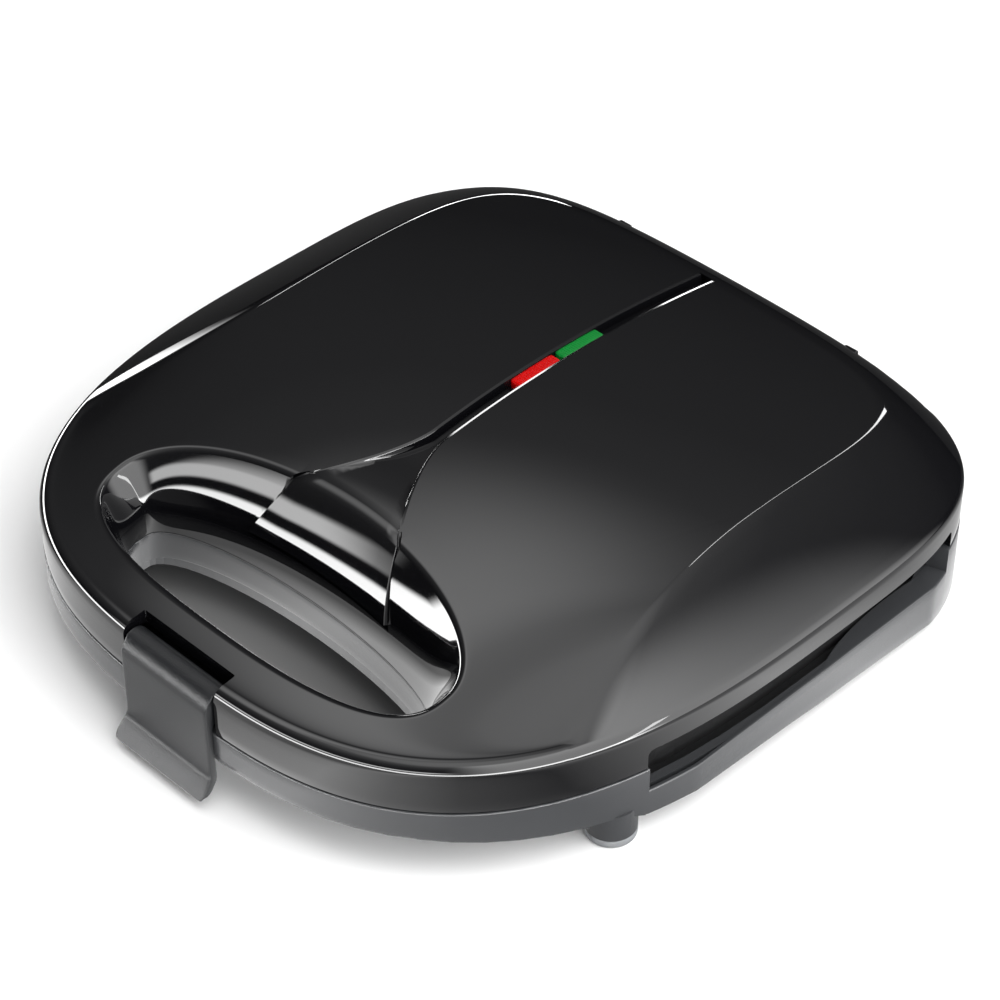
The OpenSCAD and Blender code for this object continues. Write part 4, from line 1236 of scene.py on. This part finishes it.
@dataclass
class Foot:
    """A turned rubber foot."""

    name: str
    x: float
    y: float
    radius: float = 7.5
    height: float = 3.0

    def build(self) -> bpy.types.Object:
        """Makes the foot."""
        r, h = self.radius, self.height
        dish = [(0, 0.5), (r - 2.6, 0.5), (r - 2.3, 0.15), (r - 2.0, 0)]
        tread = [(r - 1.1, 0), (r - 0.5, 0.15), (r - 0.12, 0.55), (r, 1.1)]
        bm = spun(dish + tread + [(r, h - 0.5), (r - 0.3, h - 0.1), (r - 0.6, h), (0, h)])
        bmesh.ops.translate(bm, vec=(self.x, self.y, 0), verts=bm.verts)
        return make_object(self.name, bm, 50)


@dataclass
class Bush:
    """The rubber bush round the cord's bore."""

    body: Body
    z: float = 11.3
    bore_r: float = 3.3
    wall_t: float = 1.6
    flange_t: float = 2.5

    def build(self) -> bpy.types.Object:
        """Makes the bush."""
        bore, f = self.bore_r, self.flange_t
        outer = bore + self.wall_t
        brim = outer + 2
        barb = [(bore, -4.9), (outer + 1.0, -4.9), (outer + 1.1, -2.7), (outer, -2.6), (outer, 0.12)]
        flange = [(brim - 0.3, 0.12), (brim, 0.4), (brim, f - 0.7), (brim - 0.2, f - 0.2), (brim - 0.7, f)]
        mouth = [(bore + 0.7, f + 0.05), (bore + 0.2, f - 0.15), (bore, f - 0.6), (bore, -4.9)]
        bm = spun(barb + flange + mouth)
        bmesh.ops.rotate(bm, cent=(0, 0, 0), matrix=Matrix.Rotation(-QUARTER, 3, "X"), verts=bm.verts)
        bmesh.ops.translate(bm, vec=(0, self.body.rear_y, self.z), verts=bm.verts)
        return make_object("cord_bush_turned", bm, 50)


def softened(name: str, node: str, width: float = 0.8) -> bpy.types.Object:
    """Copy of a CAD piece with its crisp edges rounded by a width in millimetres."""
    obj = cad_copy(name, node)
    bevel = obj.modifiers.new("soft_edges", "BEVEL")
    bevel.width, bevel.segments, bevel.limit_method = width * MM, 3, "ANGLE"
    bevel.angle_limit = math.radians(40)
    bevel.use_clamp_overlap = True
    apply_modifiers(obj, 50)
    return obj


# ---- Studio ----


def direction(azimuth: float, elevation: float) -> Vector:
    """Unit vector at an azimuth from +X and an elevation, in degrees."""
    a, e = math.radians(azimuth), math.radians(elevation)
    return Vector((math.cos(a) * math.cos(e), math.sin(a) * math.cos(e), math.sin(e)))


@dataclass(frozen=True)
class SoftBox:
    """A long soft lamp between two directions as the toaster sees them, each an azimuth and an elevation."""

    name: str
    start: tuple[float, float]
    end: tuple[float, float]
    width: float
    level: float
    distance: float = 2.0
    raised: float = 0.04

    def build(self) -> None:
        """Hangs the lamp."""
        first, last = direction(*self.start) * self.distance, direction(*self.end) * self.distance
        away, along = ((first + last) / 2).normalized(), (last - first).normalized()
        lamp = bpy.data.lights.new(self.name, "AREA")
        lamp.shape, lamp.size, lamp.size_y = "RECTANGLE", self.width, (last - first).length
        lamp.energy = self.level * math.pi * lamp.size * lamp.size_y
        obj = bpy.data.objects.new(self.name, lamp)
        turn = Matrix((along.cross(away), along, away)).transposed().to_4x4()
        obj.matrix_world = Matrix.Translation((first + last) / 2 + Vector((0, 0, self.raised))) @ turn
        obj.visible_diffuse = False
        bpy.context.scene.collection.objects.link(obj)


@dataclass(frozen=True)
class Glow:
    """A soft patch of light on the dome.

    Its spread is the half width in degrees where it is full and where it is gone. Low is the height where it
    starts and where it is full, high the height where it is gone and where it is still full.
    """

    azimuth: float
    spread: tuple[float, float]
    low: tuple[float, float]
    high: tuple[float, float]
    level: float
    gloss_only: bool = True

    def add(self, tree: bpy.types.NodeTree, facing: bpy.types.NodeSocket, height: bpy.types.NodeSocket,
            gate: bpy.types.NodeSocket | None, total: bpy.types.NodeSocket) -> bpy.types.NodeSocket:
        """Adds the patch to a dome's light.

        Args:
            tree: the dome's nodes.
            facing: level unit vector of the direction.
            height: its height, -1 to 1.
            gate: what switches the patch on, if anything does.
            total: the light so far.

        Returns:
            The light with the patch.
        """
        near = add_node(tree, "VectorMath", {0: facing, 1: direction(self.azimuth, 0)},
                        operation="DOT_PRODUCT")
        ends = [math.cos(math.radians(a)) for a in reversed(self.spread)]
        shares = [gate] if gate else []
        for source, (start, end) in ((near.outputs["Value"], ends), (height, self.low), (height, self.high)):
            step = add_node(tree, "MapRange", {"Value": source, "From Min": start, "From Max": end},
                            interpolation_type="SMOOTHSTEP")
            shares.append(step.outputs["Result"])
        step.inputs["To Max"].default_value = self.level
        product = shares[0]
        for share in shares[1:]:
            product = add_node(tree, "Math", {0: product, 1: share}, operation="MULTIPLY").outputs["Value"]
        return add_node(tree, "Math", {0: total, 1: product}).outputs["Value"]


@dataclass
class Studio:
    """Camera, white table, soft lamps and a dome that darkens towards the horizon."""

    azimuth: float = 44.8
    elevation: float = 40.22
    distance: float = 0.9069
    lens: float = 109.8
    sensor: float = 36.0
    target: Vector = field(default_factory=lambda: Vector((3.72, 9.41, 25.5)) * MM)
    table_levels: tuple[tuple[float, float], ...] = (
        (-0.18, 1.4), (-0.11, 1.05), (-0.065, 3.0), (-0.035, 1.7), (0.0, 0.8), (0.047, 0.25), (0.08, 1.1),
        (0.12, 2.4), (0.165, 1.2), (0.3, 1.2),
    )
    table_fade: tuple[float, float] = (-0.02, 0.08)
    # Painted shade on the table under the finger opening: its middle, size, soft edge and darkest level.
    shade_middle: tuple[float, float, float] = (-0.028, -0.05, 0)
    shade_size: tuple[float, float, float] = (0.085, 0.052, 1)
    shade_edge: tuple[float, float] = (0.7, 1.1)
    shade_level: float = 0.18
    table_size: float = 6000.0
    table_white: float = 0.93
    table_in_gloss: float = 0.04
    table_roughness: float = 0.2
    table_shine: float = 0.5
    dome_levels: tuple[tuple[float, float], ...] = (
        (0.0, 0.01), (0.34, 0.06), (0.5, 0.14), (0.643, 0.22), (0.766, 0.38), (0.866, 0.75), (0.92, 1.1),
        (0.966, 2.3), (1.0, 2.6),
    )
    glows: tuple[Glow, ...] = (
        Glow(5, (28, 56), (-0.02, 0.0), (0.99, 0.93), 4.2, False),
        Glow(265, (100, 112), (-0.03, 0.0), (0.18, 0.13), 20.0),
        Glow(270, (34, 48), (0.25, 0.29), (0.42, 0.37), 10.0),
        Glow(172, (10, 50), (0.72, 0.87), (0.96, 0.88), 2.2),
    )
    boxes: tuple[SoftBox, ...] = (
        SoftBox("right_crease_strip", (101, 64), (102, 23), 0.08, 14),
        SoftBox("rear_crease_strip", (128, 3), (142, 9), 0.09, 14),
        SoftBox("rail_strip", (138, 7), (154, 26), 0.10, 12),
        SoftBox("right_box", (3, 4), (20, 38), 0.10, 13),
    )

    def camera(self) -> None:
        """Sets the camera."""
        back = direction(self.azimuth - 90, self.elevation)
        data = bpy.data.cameras.new("camera")
        data.lens, data.sensor_width, data.clip_start = self.lens, self.sensor, 0.01
        camera = bpy.data.objects.new("camera", data)
        camera.location = self.target + back * self.distance
        camera.rotation_euler = back.to_track_quat("Z", "Y").to_euler()
        bpy.context.scene.collection.objects.link(camera)
        bpy.context.scene.camera = camera

    def floor(self) -> None:
        """Lays the white table, darkened under the finger opening by painted shade, and lights the toaster's
        gloss.
        """
        bm = bmesh.new()
        bmesh.ops.create_grid(bm, x_segments=1, y_segments=1, size=self.table_size)
        obj = make_object("table_top", bm)
        made = bpy.data.materials.new("white_table")
        made.use_nodes = True
        tree = made.node_tree
        shader = tree.nodes["Principled BSDF"]
        shader.inputs["Roughness"].default_value = self.table_roughness
        place = add_node(tree, "TexCoord").outputs["Object"]
        path = add_node(tree, "LightPath").outputs
        self.table_gloss(tree, place, path["Is Glossy Ray"], shader)

        # Painted shade: an oval mask darkens the table's colour under the finger opening, standing in for the
        # toaster's shadow there.
        oval = {"Vector": place, "Location": self.shade_middle, "Scale": self.shade_size}
        under = add_node(tree, "Mapping", oval, vector_type="TEXTURE")
        away = add_node(tree, "VectorMath", {0: under.outputs["Vector"]}, operation="LENGTH")
        start, end = self.shade_edge
        shade = {"From Min": start, "From Max": end, "To Min": self.shade_level}
        painted_shade_under_opening = add_node(tree, "MapRange", {"Value": away.outputs["Value"], **shade},
                              interpolation_type="SMOOTHSTEP").outputs["Result"]
        whites = {"A": (*[self.table_white] * 3, 1), "B": (*[self.table_in_gloss] * 3, 1)}
        tint = add_node(tree, "Mix", {"Factor": path["Is Glossy Ray"], **whites}, data_type="RGBA")
        shaded = add_node(tree, "VectorMath", {0: tint.outputs["Result"], "Scale": painted_shade_under_opening},
                          operation="SCALE")
        matt = add_node(tree, "Math", {0: path["Is Camera Ray"], 1: self.table_shine}, operation="MULTIPLY")
        tree.links.new(shaded.outputs["Vector"], shader.inputs["Base Color"])
        tree.links.new(matt.outputs["Value"], shader.inputs["Specular IOR Level"])
        obj.data.materials.append(made)

    def table_gloss(self, tree: bpy.types.NodeTree, place: bpy.types.NodeSocket, gate: bpy.types.NodeSocket,
                    shader: bpy.types.Node) -> None:
        """Gives the table its light in the toaster's gloss, by level across, and none behind the toaster.

        Args:
            tree: the table's nodes.
            place: the place on the table.
            gate: what switches the light on.
            shader: the table's shader.
        """
        top = max(level for _, level in self.table_levels)
        start, end = self.table_levels[0][0], self.table_levels[-1][0]
        across, ahead = (add_node(tree, "VectorMath", {0: place, 1: direction(a, 0)}, operation="DOT_PRODUCT")
                         for a in (self.azimuth, self.azimuth - 90))
        spot = add_node(tree, "MapRange",
                        {"Value": across.outputs["Value"], "From Min": start, "From Max": end})
        levels = [((x - start) / (end - start), level) for x, level in self.table_levels]
        colour = level_ramp(tree, spot.outputs["Result"], levels, top)
        near, far = (-e for e in self.table_fade)
        fade = add_node(tree, "MapRange",
                        {"Value": ahead.outputs["Value"], "From Min": near, "From Max": far},
                        interpolation_type="SMOOTHSTEP")
        front = add_node(tree, "Math", {0: 1.0, 1: fade.outputs["Result"]}, operation="SUBTRACT")
        lit = add_node(tree, "Math", {0: front.outputs["Value"], 1: gate}, operation="MULTIPLY")
        glow = add_node(tree, "Math", {0: lit.outputs["Value"], 1: top}, operation="MULTIPLY")
        tree.links.new(colour, shader.inputs["Emission Color"])
        tree.links.new(glow.outputs["Value"], shader.inputs["Emission Strength"])

    def dome(self) -> None:
        """Lights the set from a dome that is bright overhead and carries the glows."""
        world = bpy.data.worlds.new("dome")
        bpy.context.scene.world = world
        world.use_nodes = True
        tree = world.node_tree
        sky = tree.nodes["Background"]
        sky.inputs["Color"].default_value = (1, 1, 1, 1)
        brightest = max(level for _, level in self.dome_levels)
        place = add_node(tree, "TexCoord").outputs["Generated"]
        height = add_node(tree, "SeparateXYZ", {"Vector": place}).outputs["Z"]
        flat = add_node(tree, "VectorMath", {0: place, 1: (1, 1, 0)}, operation="MULTIPLY").outputs["Vector"]
        facing = add_node(tree, "VectorMath", {0: flat}, operation="NORMALIZE").outputs["Vector"]
        grey = level_ramp(tree, height, self.dome_levels, brightest)
        total = add_node(tree, "Math", {0: grey, 1: brightest}, operation="MULTIPLY").outputs["Value"]
        path = add_node(tree, "LightPath").outputs
        for glow in self.glows:
            gate = path["Is Glossy Ray"] if glow.gloss_only else None
            total = glow.add(tree, facing, height, gate, total)
        seen = add_node(tree, "Mix", {"Factor": path["Is Camera Ray"], "A": total, "B": 1.0})
        tree.links.new(seen.outputs["Result"], sky.inputs["Strength"])

    def build(self) -> None:
        """Makes the studio."""
        self.camera()
        self.floor()
        self.dome()
        for box in self.boxes:
            box.build()
        bpy.context.scene.view_settings.view_transform = "Standard"


# ---- The whole toaster ----


NODE_SLOTS = {
    "base_shell": "base_black", "lid_shell": "gloss_black", "centre_strip": "gloss_black",
    "base_liner": "liner_black", "lid_liner": "liner_black", "clip": "clip_grey",
    "lower_plate": "plate_coat", "upper_plate": "plate_coat",
    "lower_reflector": "pan_steel", "upper_reflector": "pan_steel",
    "thermostat": "ceramic", "terminal_block": "ceramic", "lamp_holder": "ceramic",
    "cord_bush": "rubber", "foot_front_left": "rubber", "foot_front_right": "rubber",
    "foot_rear_left": "rubber", "foot_rear_right": "rubber",
    "red_lens": "red_clear", "green_lens": "green_clear",
    "red_lamp": "lamp_glass", "green_lamp": "lamp_glass",
}


def dress_cad(materials: dict[str, bpy.types.Material]) -> None:
    """Gives each CAD node that still shows the finish of its material slot."""
    for name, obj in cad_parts.items():
        slot = NODE_SLOTS.get(name, "steel")
        obj.data.materials.clear()
        obj.data.materials.append(materials[slot])


def main() -> None:
    """Builds and dresses every piece, in the order of assembly."""
    logging.basicConfig(level=logging.INFO, format="%(message)s")
    grain = surface_grain()
    finishes = {f.name: f.material(grain) for f in FINISHES}
    Studio().build()
    dress_cad(finishes)

    body = Body()
    strip = Strip(body)
    base, lid = Base(body), Lid(body)
    red_lens = Lens(body, "red_lens_ribbed", RED_LENS_Y)
    green_lens = Lens(body, "green_lens_ribbed", GREEN_LENS_Y)
    pieces = [
        fit(lid.build(strip), Moves.LID, "gloss_black", finishes, "lid_shell"),
        fit(strip.build(), Moves.LID, "gloss_black", finishes, "centre_strip"),
        fit(red_lens.build(), Moves.LID, "red_clear", finishes, "red_lens"),
        fit(green_lens.build(), Moves.LID, "green_clear", finishes, "green_lens"),
        fit(Clip(body).build(), Moves.CLIP, "clip_grey", finishes, "clip"),
        fit(base.ring(), Moves.BASE, "base_black", finishes),
        fit(base.sleeve(), Moves.BASE, "base_black", finishes),
        fit(softened("lower_plate_cast", "lower_plate"), Moves.BASE, "plate_coat", finishes, "lower_plate"),
        fit(softened("upper_plate_cast", "upper_plate"), Moves.LID, "plate_coat", finishes, "upper_plate"),
        fit(Bush(body).build(), Moves.BASE, "rubber", finishes, "cord_bush"),
    ]
    for node in ("foot_front_left", "foot_front_right", "foot_rear_left", "foot_rear_right"):
        low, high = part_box(node)
        mid = (low + high) / 2 / MM
        pieces.append(fit(Foot(node + "_turned", mid.x, mid.y).build(), Moves.BASE, "rubber", finishes, node))
    for piece in pieces:
        LOG.info("%s: %d faces", piece.name, len(piece.data.polygons))


if __name__ == "__main__":
    main()
